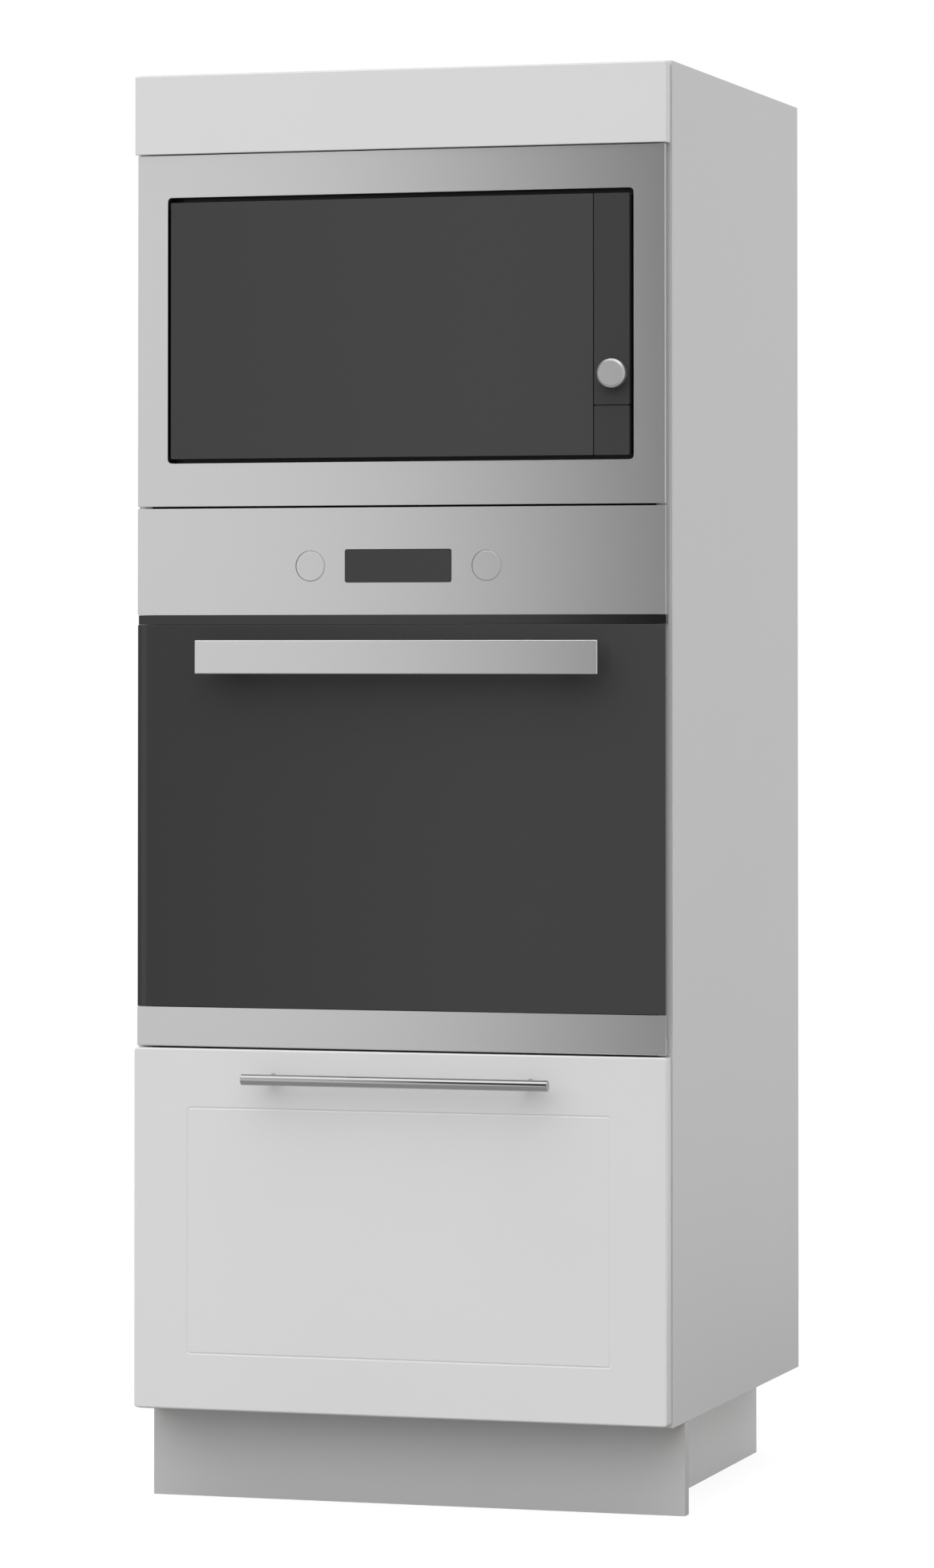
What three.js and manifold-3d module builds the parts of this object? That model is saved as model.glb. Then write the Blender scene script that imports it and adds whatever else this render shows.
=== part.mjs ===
// Tall oven housing: a kitchen cabinet that carries a built-in microwave over a built-in oven over a
// deep drawer. Millimetres, +X right, +Y from the fronts to the back, +Z up, floor at Z = 0.
import * as THREE from "three";
import { mergeVertices } from "three/addons/utils/BufferGeometryUtils.js";
import Module from "manifold-3d";

const wasm = await Module();
wasm.setup();

// Cabinet
const cabinetWidth = 600;
const cabinetDepth = 570; // carcass alone, behind the fronts
const cabinetHeight = 1450; // carcass alone, above the plinth
const board = 16; // melamine-faced boards of the carcass
const backBoard = 3; // hardboard backs
const backInset = 14; // from the carcass back edges to the backs
const backGroove = 6; // how far the backs enter the side panels
const shelfAirGap = 45; // chimney left behind the appliance shelves
const fit = 0.3; // working gap between pieces that meet

// Fascia and drawer front
const frontThickness = 19;
const frontGap = 1; // from the fronts to the carcass edges
const frontReveal = 1.5; // the fronts are this much narrower on each side
const frontEdgeRadius = 2.5;
const frontCornerRadius = 4;
const topReveal = 2.5;
const bottomReveal = 3;
const fasciaHeight = 85.5;
const grooveSideMargin = 62; // centreline of the routed groove to the front's edge
const grooveTopMargin = 63.9;
const grooveBottomMargin = 60.6;
const grooveDepth = 2;
const grooveFloor = 1.2; // width at the bottom of the groove
const grooveSlope = 1.4; // each wall widens by this much to the surface
const grooveCornerRadius = 2.5;

// Plinth and legs
const plinthHeight = 100;
const plinthBoard = 16;
const plinthSetback = 50; // behind the carcass front edges
const plinthSideInset = 50; // the side boards stand this far in
const legFrontSetback = 60; // leg centre behind the plinth front
const legBackSetback = 60; // leg centre in front of the carcass back
const legSideInset = 60; // leg centre inside the plinth side boards
const legFootRadius = 30;
const legFootEdge = 5;
const legFootHeight = 14;
const legStemRadius = 11;
const legStemTop = 28;
const legTubeRadius = 15;
const legPlateRadius = 34;
const legPlateThickness = 5;
const clipRise = 52; // plinth clip above the floor
const clipArm = [16, 12]; // width and height
const clipPad = [40, 28];
const clipPadThickness = 3;

// Drawer
const drawerBoard = 15;
const drawerBottomBoard = 6;
const drawerBottomGroove = 6;
const drawerBackGap = 53.7; // air between the drawer box and the back panel
const drawerFloorGap = 25; // box above the bottom panel
const drawerBottomRise = 12; // bottom board above the lower edge of the box
const drawerHeadroom = 130; // shelf above the box
const drawerGap = 2; // drawer front to oven door
const barRadius = 6;
const barLength = 342;
const barPostSpacing = 288;
const barPostRadius = 4;
const barPostFoot = 3; // height of the post's flared foot
const barPostFlare = 1.5;
const barEndChamfer = 1;
const barProjection = 31; // bar axis in front of the drawer front
const barDrop = 30.1; // bar axis below the drawer front's top edge
const handleShift = 6; // both handles sit this far right of centre

// Telescopic runners, three nested channels on each side
const runnerSetback = 4; // behind the carcass front edges
const runnerBackGap = 49; // in front of the back panel
const runnerHeight = 45;
const runnerWidth = 12.7;
const runnerSteel = 1.5;
const runnerRise = 40; // runner centre above the bottom of the drawer box
const runnerRace = 2.5; // ball race between one channel and the next
const raceWidth = 4;
const raceSetback = 20; // the ball races end this far inside the channels

// Appliance fronts
const applianceRecess = 4; // behind the face of the cabinet fronts
const applianceReveal = 3.8; // narrower than the cabinet on each side
const applianceGap = 2.3; // microwave trim to oven panel
const trimDepth = 9; // folded edge of the stainless fronts
const sheet = 1.5; // stainless sheet
const casingInset = 6; // appliance casings narrower than the niche on each side

// Oven
const ovenShelfDrop = 4.4; // shelf below the oven door's lower edge
const ovenDoorHeight = 456.5;
const ovenVentHeight = 10.4;
const ovenPanelHeight = 115.4;
const ovenCasingDepth = 515;
const ovenCavityWidth = 460;
const ovenCavityDrop = 46.5; // cavity ceiling below the door's top edge
const ovenCavityDepth = 410;
const ovenCavityRise = 70; // cavity floor above the door's lower edge
const ovenCavityRadius = 18;
const ovenWall = 1.5;
const ledgeCount = 5;
const ledgePitch = 58;
const ledgeReach = 6; // the pressed ledges stand this far into the cavity
const ledgeHeight = 8;
const ledgeBevel = 2;
const ledgeSetback = 25; // ledges shorter than the cavity at each end
const ovenWindowMargin = 6; // door window inside the cavity's outline
const ovenFlangeDrop = 3; // cavity flange below the door's top edge
const casingHeadroom = 3; // casing below the shelf above it
const ovenDuct = [240, 20]; // cooling air outlet on top, width and depth
const ovenDuctSetback = 50; // its middle in front of the casing's back
const socketHole = [36, 26]; // opening for the supply at the back of a casing
const socketInset = 60; // its middle inside the casing's corner
const ventBar = 6; // steel left between two air outlets
const ventCount = 16;
const ventSetback = 3.2; // plain black face behind the door's face
const ventWall = 3; // wall in front of the air outlets, above them and behind them
const guideThickness = 4; // plate that guides the knob shafts
const cheekThickness = 2;
const doorGlass = 4;
const glassBevel = 0.8;
const doorStripHeight = 42.3;
const doorStripDepth = 12;
const doorStripChamfer = 1; // clears the drawer front while the door swings
const doorStripFloor = 3;
const doorStripBack = 10; // rear wall of the strip above the hinge axis
const doorFrameDepth = 27.7;
const doorFrameRise = 12; // door frame above the hinge axis
const doorFrameDrop = 5; // door frame below the door's top edge
const doorFrameInset = 6; // door frame narrower than the niche on each side
const innerGlassMargin = 20;
const sealGap = 3; // inner glass to the cavity flange, filled by the soft seal
const hingeSideInset = 17; // hinge arm centre inside the niche wall
const hingeRise = 7.6; // hinge axis above the door's lower edge
const hingeDepth = 6; // hinge axis behind the door's face
const hingeArmWidth = 8;
const hingeArmHeight = 8;
const hingeArmLength = 82;
const hingePinRadius = 2;
const hingePinReach = 4.5; // pin beyond each side of the arm
const hingeBlockMargin = 8; // solid block on each side of the arm
const hingeSlack = 0.45; // air round the arm inside the strip
const ovenHandleLength = 450;
const ovenHandleHeight = 36.3;
const ovenHandleThickness = 9;
const ovenHandleProjection = 35; // handle face in front of the door
const ovenHandleDrop = 16.9; // handle below the door's top edge
const ovenHandlePostInset = 40;
const ovenHandlePostWidth = 16;
const ovenHandlePostMargin = 6; // post inside the handle's height, top and bottom
const displayWidth = 120;
const displayHeight = 36;
const displayRadius = 2.5;
const displayRecess = 0.2;
const displayHolderMargin = 5;
const displayHolderDepth = 12;
const controlsRise = 52.6; // knob and display centres above the panel's lower edge
const ovenKnobSpacing = 198;
const ovenKnobRadius = 16.1;
const ovenKnobRing = 0.55; // air round a knob in its hole
const ovenKnobEdge = 0.8;
const ovenKnobLength = 22;
const ovenKnobTravel = 20;
const ovenKnobSkin = 7.5; // solid front of the cap, in front of its bore
const ovenShaftRadius = 4;
const ovenShaftTail = 8; // shaft behind its guide when the knob is out
const ovenCollarRadius = 11;
const ovenCollarThickness = 2.5;
const knobWellDepth = 30;
const fanRadius = 62;
const fanBlades = 14;
const fanBladeThickness = 1.6;
const fanBladeStart = 31;
const fanDepth = 22;
const fanDisc = 1.5;
const fanHubRadius = 12;
const fanShaftRadius = 5;
const fanShaftLength = 34;
const fanBackGap = 2.5; // fan in front of the cavity's rear wall
const fanCoverWidth = 200;
const fanCoverHeight = 190;
const fanCoverDepth = 36;
const fanCoverRadius = 14;
const fanCoverSlots = 20;
const fanSlotWidth = 4.4;
const fanSlotSpan = [22, 52]; // distances of a slot's ends from the fan's axis
const wireRadius = 2.5;
const crossWireRadius = 1.5;
const wireCount = 13;
const wireSideGap = 1.5; // wire shelf to the cavity wall
const wireEndGap = 20; // wire shelf to the flange, and to the fan cover

// Microwave
const microwaveHeight = 382;
const microwaveShelfDrop = 7; // shelf above the lower edge of the trim frame
const microwaveHeadroom = 5; // upper shelf above the trim frame
const fasciaGap = 1;
const trimSide = 34.4; // width of the trim frame at its sides
const trimBottom = 46.9;
const trimTop = 46.3;
const trimRadius = 4.5;
const revealWidth = 4.1; // dark gap between trim and glass, at the sides
const revealBelow = 4.6;
const revealAbove = 5.7;
const glassProud = 2.3; // glass in front of the trim
const microwaveGlass = 4;
const glassCorner = 1.5;
const columnWidth = 38.9;
const columnGap = 1;
const columnWall = 2.5;
const buttonHeight = 52.5;
const buttonDepth = 6.3;
const buttonTravel = 3;
const buttonOvertravel = 1; // left behind the pressed button
const buttonStemSize = [10, 12];
const buttonStemReach = 3; // stem behind the cavity's face plate
const microwaveDoorDepth = 21.5;
const microwaveScreen = 3; // closed back of the door frame
const screenMarginX = 18;
const screenMarginZ = 22;
const hingeStile = 2.7; // door frame inside the glass on the hinge side
const latchStile = 3.3; // and on the latch side
const microwaveRail = 4; // and above and below
const microwaveFaceDepth = 25; // cavity face behind the trim face
const microwaveCasingDepth = 390;
const microwaveCavityInset = 22.7; // cavity inside the door glass, at both sides
const microwaveCavityDepth = 330;
const microwaveCavityMargin = 20; // cavity inside the glass height, top and bottom
const microwaveCavityRadius = 8;
const microwavePlateDrop = 4; // face plate below the trim's top edge
const microwaveCasingDrop = 6;
const tunnelWall = 1.5; // dark lining between the trim and the face plate
const tunnelSlack = 0.5;
const microwaveHingeInset = 7.7; // hinge axis from the glass edge
const microwaveHingeDepth = 5.5; // hinge axis behind the trim face
const microwavePinRadius = 1.8;
const microwaveLugRadius = 3.4;
const microwaveLugThickness = 2.4;
const microwavePinLength = 6;
const latchInset = 60; // latch hooks from the ends of the door frame
const latchThickness = 3;
const latchStandoff = 3.5; // hook from the door frame's edge
const latchReach = 18;
const latchNose = 2;
const latchHalf = 4;
const latchRoom = 3; // slot larger than the hook
const microwaveKnobRadius = 15.5;
const microwaveKnobLength = 13;
const microwaveKnobChamfer = 2.5;
const microwaveKnobRise = 33; // knob centre above the control column's lower edge
const microwaveKnobShift = 2; // knob centre right of the column's middle
const microwaveShaftRadius = 3;
const microwaveShaftTail = 12; // shaft behind the face plate
const turntableRadius = 135;
const turntableRise = 14; // plate above the cavity floor
const turntableGlass = 4;
const turntableRim = 8;
const turntableRimWidth = 3;
const turntableSlope = 13; // width of the sloping edge
const hubShaftRadius = 6;
const hubShaftLength = 12;
const hubRadius = 26;
const hubNeck = 14;
const hubSlack = 2; // hub above the cavity floor

// Levels, worked out from the driving dimensions
const halfWidth = cabinetWidth / 2;
const nicheHalf = halfWidth - board;
const carcassFront = frontThickness + frontGap;
const carcassBack = carcassFront + cabinetDepth;
const backFace = carcassBack - backInset - backBoard;
const shelfBack = backFace - shelfAirGap;
const cabinetTop = plinthHeight + cabinetHeight;
const fasciaTop = cabinetTop - topReveal;
const fasciaBottom = fasciaTop - fasciaHeight;
const microwaveBottom = fasciaBottom - fasciaGap - microwaveHeight;
const ovenTop = microwaveBottom - applianceGap;
const ovenDoorTop = ovenTop - ovenPanelHeight - ovenVentHeight;
const ovenDoorBottom = ovenDoorTop - ovenDoorHeight;
const drawerFrontTop = ovenDoorBottom - drawerGap;
const drawerFrontBottom = plinthHeight + bottomReveal;
const ovenShelfTop = ovenDoorBottom - ovenShelfDrop;
const microwaveShelfTop = microwaveBottom + microwaveShelfDrop;
const upperShelfBottom = microwaveBottom + microwaveHeight + microwaveHeadroom;
const frontHalf = halfWidth - frontReveal;
const applianceHalf = halfWidth - applianceReveal;
const casingHalf = nicheHalf - casingInset;
const runnerFront = carcassFront + runnerSetback;
const runnerLength = backFace - runnerBackGap - runnerFront;

const steps = 4; // straight runs in each rounded corner
const roundSides = 24; // sides of a round piece

// ---- making solids

// A closed three.js geometry as a solid that can be joined and cut.
function solidOf(geometry) {
  const bare = geometry.index ? geometry.toNonIndexed() : geometry.clone();
  bare.deleteAttribute("normal");
  bare.deleteAttribute("uv");
  const merged = mergeVertices(bare, 1e-4);
  const mesh = new wasm.Mesh({
    numProp: 3,
    vertProperties: merged.attributes.position.array,
    triVerts: new Uint32Array(merged.index.array),
  });
  return new wasm.Manifold(mesh);
}

function geometryOf(solid) {
  const mesh = solid.getMesh();
  const geometry = new THREE.BufferGeometry();
  geometry.setAttribute("position", new THREE.BufferAttribute(mesh.vertProperties, 3));
  geometry.setIndex(new THREE.BufferAttribute(mesh.triVerts, 1));
  const faceted = geometry.toNonIndexed();
  faceted.computeVertexNormals();
  return faceted;
}

const join = (first, ...others) => others.reduce((all, next) => all.add(next), first);
const cut = (first, ...others) => others.reduce((left, next) => left.subtract(next), first);

// A block between two planes on each axis.
function block([x0, x1], [y0, y1], [z0, z1]) {
  const geometry = new THREE.BoxGeometry(x1 - x0, y1 - y0, z1 - z0);
  geometry.translate((x0 + x1) / 2, (y0 + y1) / 2, (z0 + z1) / 2);
  return solidOf(geometry);
}

// A rectangle with rounded corners, for an outline or for a hole in one.
function roundedRect([x0, x1], [y0, y1], radius, path = new THREE.Shape()) {
  path.moveTo(x0 + radius, y0);
  path.lineTo(x1 - radius, y0);
  path.absarc(x1 - radius, y0 + radius, radius, -Math.PI / 2, 0, false);
  path.lineTo(x1, y1 - radius);
  path.absarc(x1 - radius, y1 - radius, radius, 0, Math.PI / 2, false);
  path.lineTo(x0 + radius, y1);
  path.absarc(x0 + radius, y1 - radius, radius, Math.PI / 2, Math.PI, false);
  path.lineTo(x0, y0 + radius);
  path.absarc(x0 + radius, y0 + radius, radius, Math.PI, Math.PI * 1.5, false);
  return path;
}

function outline(points) {
  return new THREE.Shape(points.map(([x, y]) => new THREE.Vector2(x, y)));
}

// An outline drawn as seen from the front, carried from one Y plane to another.
function frontal(shape, [y0, y1], curveSegments = steps) {
  const options = { depth: y1 - y0, bevelEnabled: false, curveSegments };
  const geometry = new THREE.ExtrudeGeometry(shape, options);
  geometry.rotateX(Math.PI / 2);
  geometry.translate(0, y1, 0);
  return solidOf(geometry);
}

// An outline of (Y, Z) points, as wide as the two X planes.
function sideways(shape, [x0, x1], curveSegments = steps) {
  const options = { depth: x1 - x0, bevelEnabled: false, curveSegments };
  const geometry = new THREE.ExtrudeGeometry(shape, options);
  const axes = new THREE.Matrix4().makeBasis(
    new THREE.Vector3(0, 1, 0),
    new THREE.Vector3(0, 0, 1),
    new THREE.Vector3(1, 0, 0),
  );
  geometry.applyMatrix4(axes);
  geometry.translate(x0, 0, 0);
  return solidOf(geometry);
}

// A round bar along one axis, between two stations on it.
function rod(axis, radius, [from, to], [a, b], facets = roundSides) {
  const geometry = new THREE.CylinderGeometry(radius, radius, to - from, facets);
  const middle = (from + to) / 2;
  if (axis === "x") {
    geometry.rotateZ(-Math.PI / 2);
    geometry.translate(middle, a, b);
  } else if (axis === "y") {
    geometry.translate(a, middle, b);
  } else {
    geometry.rotateX(Math.PI / 2);
    geometry.translate(a, b, middle);
  }
  return solidOf(geometry);
}

// A turned piece: (radius, station) points that start and end on the axis, which is Y.
function turnedY(points, [x, z], facets = roundSides) {
  const profile = points.map(([radius, station]) => new THREE.Vector2(radius, station));
  const geometry = new THREE.LatheGeometry(profile, facets);
  geometry.translate(x, 0, z);
  return solidOf(geometry);
}

// The same about a vertical axis.
function turnedZ(points, [x, y], facets = roundSides) {
  const profile = points.map(([radius, station]) => new THREE.Vector2(radius, station));
  const geometry = new THREE.LatheGeometry(profile, facets);
  geometry.rotateX(Math.PI / 2);
  geometry.translate(x, y, 0);
  return solidOf(geometry);
}

// The low and the high end of a span, each moved outwards.
const grow = ([low, high], by) => [low - by, high + by];
const around = (middle, size) => [middle - size / 2, middle + size / 2];

// A ring with rounded corners: an outer and an inner outline, carried from one Y plane to another.
function frame(outerX, outerZ, outerRadius, innerX, innerZ, innerRadius, y) {
  const shape = roundedRect(outerX, outerZ, outerRadius);
  shape.holes.push(roundedRect(innerX, innerZ, innerRadius, new THREE.Path()));
  return frontal(shape, y);
}

const mirrored = (solid) => solid.mirror([1, 0, 0]);
const sides = { left: mirrored, right: (solid) => solid };

// ---- materials

const finish = (color, roughness, metalness = 0) =>
  new THREE.MeshStandardMaterial({ color, roughness, metalness });
const materials = {
  carcass: finish(0xc4c4c4, 0.6),
  front: finish(0xdcdcdc, 0.45),
  hardboard: finish(0xb9ad9c, 0.8),
  plinth: finish(0xa8a8a8, 0.6),
  steel: finish(0xb8b8b8, 0.3, 1),
  chrome: finish(0xd8d8d8, 0.08, 1),
  zinc: finish(0xaeb2b6, 0.4, 1),
  darkGlass: finish(0x414141, 0.1),
  blackEnamel: finish(0x121214, 0.25),
  greyEnamel: finish(0x3c4046, 0.3),
  blackPlastic: finish(0x1c1c1c, 0.4),
  whiteEnamel: finish(0xd9d9d4, 0.35),
  clearGlass: finish(0xc8d4d2, 0.05),
};

function addPiece(group, name, solid, material) {
  const mesh = new THREE.Mesh(geometryOf(solid), material);
  mesh.name = name;
  group.add(mesh);
}

// ---- cabinet

// A front with its face edges rounded and its back edges left square.
function softFront([x0, x1], [z0, z1]) {
  const shape = roundedRect(
    [x0 + frontEdgeRadius, x1 - frontEdgeRadius],
    [z0 + frontEdgeRadius, z1 - frontEdgeRadius],
    Math.max(frontCornerRadius - frontEdgeRadius, 0.5),
  );
  const geometry = new THREE.ExtrudeGeometry(shape, {
    depth: frontThickness,
    bevelSize: frontEdgeRadius,
    bevelThickness: frontEdgeRadius,
    bevelSegments: 4,
    curveSegments: 3,
  });
  geometry.rotateX(Math.PI / 2);
  geometry.translate(0, frontThickness + frontEdgeRadius, 0);
  const reach = frontThickness + 3 * frontEdgeRadius;
  const behind = block([x0 - 1, x1 + 1], [frontThickness, reach], [z0 - 1, z1 + 1]);
  return cut(solidOf(geometry), behind);
}

function sidePanel() {
  const panel = block([nicheHalf, halfWidth], [carcassFront, carcassBack], [plinthHeight, cabinetTop]);
  const groove = block(
    [nicheHalf - 1, nicheHalf + backGroove + fit],
    [backFace - fit, backFace + backBoard + fit],
    [plinthHeight - 1, cabinetTop + 1],
  );
  return cut(panel, groove);
}

// A board between the side panels, by the height of its underside.
function crossBoard(bottom, back, front = carcassFront) {
  return block([-nicheHalf + fit, nicheHalf - fit], [front, back], [bottom, bottom + board]);
}

function backPanel([bottom, top]) {
  const half = nicheHalf + backGroove;
  return block([-half, half], [backFace, backFace + backBoard], [bottom + fit, top - fit]);
}

function addCabinet(root) {
  const group = new THREE.Group();
  for (const side of Object.keys(sides)) {
    addPiece(group, `side_panel_${side}`, sides[side](sidePanel()), materials.carcass);
  }
  const ovenShelfBottom = ovenShelfTop - board;
  const topBoardBottom = cabinetTop - board;
  addPiece(group, "bottom_panel", crossBoard(plinthHeight, backFace - fit), materials.carcass);
  addPiece(group, "oven_shelf", crossBoard(ovenShelfBottom, shelfBack), materials.carcass);
  addPiece(group, "microwave_shelf", crossBoard(microwaveShelfTop - board, shelfBack), materials.carcass);
  const fasciaSeat = frontThickness + fit;
  const upperShelf = crossBoard(upperShelfBottom, backFace - fit, fasciaSeat);
  const topPanel = crossBoard(topBoardBottom, backFace - fit, fasciaSeat);
  addPiece(group, "upper_shelf", upperShelf, materials.carcass);
  addPiece(group, "top_panel", topPanel, materials.carcass);
  addPiece(group, "drawer_back_panel", backPanel([plinthHeight, ovenShelfTop]), materials.hardboard);
  addPiece(group, "upper_back_panel", backPanel([upperShelfBottom, cabinetTop]), materials.hardboard);
  const fascia = softFront([-frontHalf, frontHalf], [fasciaBottom, fasciaTop]);
  addPiece(group, "fascia_panel", fascia, materials.front);
  root.add(group);
}

// ---- plinth and levelling legs

// Mounting plate, tube, threaded foot with a wide flange. The front legs carry a clip for the plinth.
function levellingLeg([x, y], withClip) {
  const plateBottom = plinthHeight - fit - legPlateThickness;
  const leg = turnedZ(
    [
      [0, 0],
      [legFootRadius, 0],
      [legFootRadius, legFootEdge],
      [legStemRadius, legFootHeight],
      [legStemRadius, legStemTop],
      [legTubeRadius, legStemTop + 2],
      [legTubeRadius, plateBottom],
      [legPlateRadius, plateBottom],
      [legPlateRadius, plinthHeight - fit],
      [0, plinthHeight - fit],
    ],
    [x, y],
    18,
  );
  if (!withClip) return leg;
  const plinthBack = carcassFront + plinthSetback + plinthBoard + fit;
  const arm = block(around(x, clipArm[0]), [plinthBack, y], around(clipRise, clipArm[1]));
  const padY = [plinthBack, plinthBack + clipPadThickness];
  const pad = block(around(x, clipPad[0]), padY, around(clipRise, clipPad[1]));
  return join(leg, arm, pad);
}

function addPlinth(root) {
  const group = new THREE.Group();
  const front = carcassFront + plinthSetback;
  const top = plinthHeight - fit;
  const face = block([-halfWidth, halfWidth], [front, front + plinthBoard], [0, top]);
  addPiece(group, "plinth_front", face, materials.plinth);
  const outer = halfWidth - plinthSideInset;
  const flank = block([outer - plinthBoard, outer], [front + plinthBoard + fit, carcassBack], [0, top]);
  const legX = outer - plinthBoard - legSideInset;
  const rows = { front: front + legFrontSetback, back: carcassBack - legBackSetback };
  for (const side of Object.keys(sides)) {
    addPiece(group, `plinth_side_${side}`, sides[side](flank), materials.plinth);
    for (const row of Object.keys(rows)) {
      const leg = levellingLeg([legX, rows[row]], row === "front");
      addPiece(group, `levelling_leg_${row}_${side}`, sides[side](leg), materials.blackPlastic);
    }
  }
  root.add(group);
}

// ---- drawer

// One rolled-steel channel: its web stands "from" the niche wall, its flanges run to "to".
function channel(from, to, halfHeight, webAtStart) {
  const x = (inset) => nicheHalf - inset;
  const web = webAtStart ? [x(from + runnerSteel), x(from)] : [x(to), x(to - runnerSteel)];
  const length = [0, runnerLength];
  const flange = (low) => block([x(to), x(from)], length, [low, low + runnerSteel]);
  return join(
    block(web, length, [-halfHeight, halfHeight]),
    flange(halfHeight - runnerSteel),
    flange(-halfHeight),
  );
}

// The balls and their cage, as the strip that each channel rides on in the next larger one.
// It lies in the middle of the stretch where the two channels' flanges face each other.
function ballCage(from, to, halfHeight) {
  const x = nicheHalf - (from + to) / 2;
  const tall = [halfHeight - fit, halfHeight + runnerRace - fit];
  const length = [raceSetback, runnerLength - raceSetback];
  const strip = (z) => block(around(x, raceWidth), length, z);
  return join(strip(tall), strip([-tall[1], -tall[0]]));
}

function runnerChannels() {
  const third = runnerWidth / 3;
  const outerHalf = runnerHeight / 2;
  const middleHalf = outerHalf - runnerSteel - runnerRace;
  const innerHalf = middleHalf - runnerSteel - runnerRace;
  const cabinetLip = 2 * third;
  const middleWeb = third - fit;
  const middleLip = runnerWidth - runnerSteel - 2 * fit;
  const drawerLip = third + runnerSteel + fit;
  const cabinet = channel(fit, cabinetLip, outerHalf, true);
  const middle = join(
    channel(middleWeb, middleLip, middleHalf, true),
    ballCage(middleWeb, cabinetLip, middleHalf),
  );
  const drawer = join(
    channel(drawerLip, runnerWidth, innerHalf, false),
    ballCage(drawerLip, middleLip, innerHalf),
  );
  return { cabinet, middle, drawer };
}

function addDrawer(root) {
  const group = new THREE.Group();
  const boxBottom = plinthHeight + board + drawerFloorGap;
  const boxTop = ovenShelfTop - board - drawerHeadroom;
  const boxFront = frontThickness + fit;
  const boxBack = backFace - drawerBackGap;
  const outer = nicheHalf - runnerWidth - fit;
  const inner = outer - drawerBoard;
  const floorBottom = boxBottom + drawerBottomRise;
  const floorTop = floorBottom + drawerBottomBoard;

  const groove = routedGroove(
    [-frontHalf + grooveSideMargin, frontHalf - grooveSideMargin],
    [drawerFrontBottom + grooveBottomMargin, drawerFrontTop - grooveTopMargin],
  );
  const face = cut(softFront([-frontHalf, frontHalf], [drawerFrontBottom, drawerFrontTop]), groove);
  addPiece(group, "drawer_front", face, materials.front);

  const barZ = drawerFrontTop - barDrop;
  addPiece(group, "drawer_handle_bar", handleBar(barZ), materials.chrome);
  const side = cut(
    block([inner, outer], [boxFront, boxBack], [boxBottom, boxTop]),
    block(
      [inner - 1, inner + drawerBottomGroove + fit],
      [boxFront - 1, boxBack + 1],
      [floorBottom - fit, floorTop + fit],
    ),
  );
  const runners = runnerChannels();
  const runnerZ = boxBottom + runnerRise;
  for (const name of Object.keys(sides)) {
    const hand = sides[name];
    const offset = name === "left" ? -1 : 1;
    const post = handlePost(handleShift + (offset * barPostSpacing) / 2, barZ);
    addPiece(group, `drawer_handle_post_${name}`, post, materials.chrome);
    addPiece(group, `drawer_side_${name}`, hand(side), materials.carcass);
    for (const member of Object.keys(runners)) {
      const placed = hand(runners[member]).translate([0, runnerFront, runnerZ]);
      addPiece(group, `runner_${member}_${name}`, placed, materials.zinc);
    }
  }
  const floorHalf = inner + drawerBottomGroove;
  const floor = block([-floorHalf, floorHalf], [boxFront, boxBack], [floorBottom, floorTop]);
  addPiece(group, "drawer_bottom", floor, materials.carcass);
  const backY = [boxBack - drawerBoard, boxBack];
  const back = block([-inner + fit, inner - fit], backY, [floorTop + fit, boxTop]);
  addPiece(group, "drawer_back", back, materials.carcass);
  root.add(group);
}

// A ring-shaped cutter whose section is a V with a flat bottom.
function routedGroove([x0, x1], [z0, z1]) {
  const half = grooveFloor / 2;
  const ring = roundedRect([x0 - half, x1 + half], [z0 - half, z1 + half], grooveCornerRadius + half);
  const field = roundedRect(
    [x0 + half, x1 - half],
    [z0 + half, z1 - half],
    grooveCornerRadius - half,
    new THREE.Path(),
  );
  ring.holes.push(field);
  const geometry = new THREE.ExtrudeGeometry(ring, {
    depth: 2,
    bevelSize: grooveSlope,
    bevelThickness: grooveDepth,
    bevelSegments: 1,
    curveSegments: 3,
  });
  geometry.rotateX(Math.PI / 2);
  return solidOf(geometry);
}

function handleBar(z) {
  const end = barEndChamfer;
  const half = barLength / 2;
  const bar = turnedY(
    [
      [0, -half],
      [barRadius - end, -half],
      [barRadius, -half + end],
      [barRadius, half - end],
      [barRadius - end, half],
      [0, half],
    ],
    [0, 0],
  );
  return bar.rotate([0, 0, -90]).translate([handleShift, -barProjection, z]);
}

// A post from the drawer front to the bar, with a foot, hollowed where it meets the round bar.
function handlePost(x, z) {
  const post = turnedY(
    [
      [0, -barProjection],
      [barPostRadius, -barProjection],
      [barPostRadius, -barPostFoot],
      [barPostRadius + barPostFlare, -fit],
      [0, -fit],
    ],
    [x, z],
    20,
  );
  const barRoom = rod("x", barRadius + fit, around(x, 4 * barPostRadius), [-barProjection, z]);
  return cut(post, barRoom);
}

// ---- oven: Y = 0 is the door's face, Z = 0 its lower edge

const doorFrameHalf = nicheHalf - doorFrameInset;
const ovenFrameZ = [hingeRise + doorFrameRise, ovenDoorHeight - doorFrameDrop];
const hingeX = nicheHalf - hingeSideInset;
const flangeY = doorGlass + doorFrameDepth + doorGlass + 2 * fit + sealGap;
const casingY = flangeY + ovenWall + fit;
const cavityX = [-ovenCavityWidth / 2, ovenCavityWidth / 2];
const cavityZ = [ovenCavityRise, ovenDoorHeight - ovenCavityDrop];
const cavityBack = flangeY + ovenCavityDepth;
const panelBottom = ovenDoorHeight + ovenVentHeight;
const panelTop = panelBottom + ovenPanelHeight;
const controlsZ = panelBottom + controlsRise;
const shelfZ = -ovenShelfDrop; // top of the shelf that the oven stands on
const nicheTop = microwaveShelfTop - board - ovenDoorBottom; // underside of the shelf above

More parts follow.
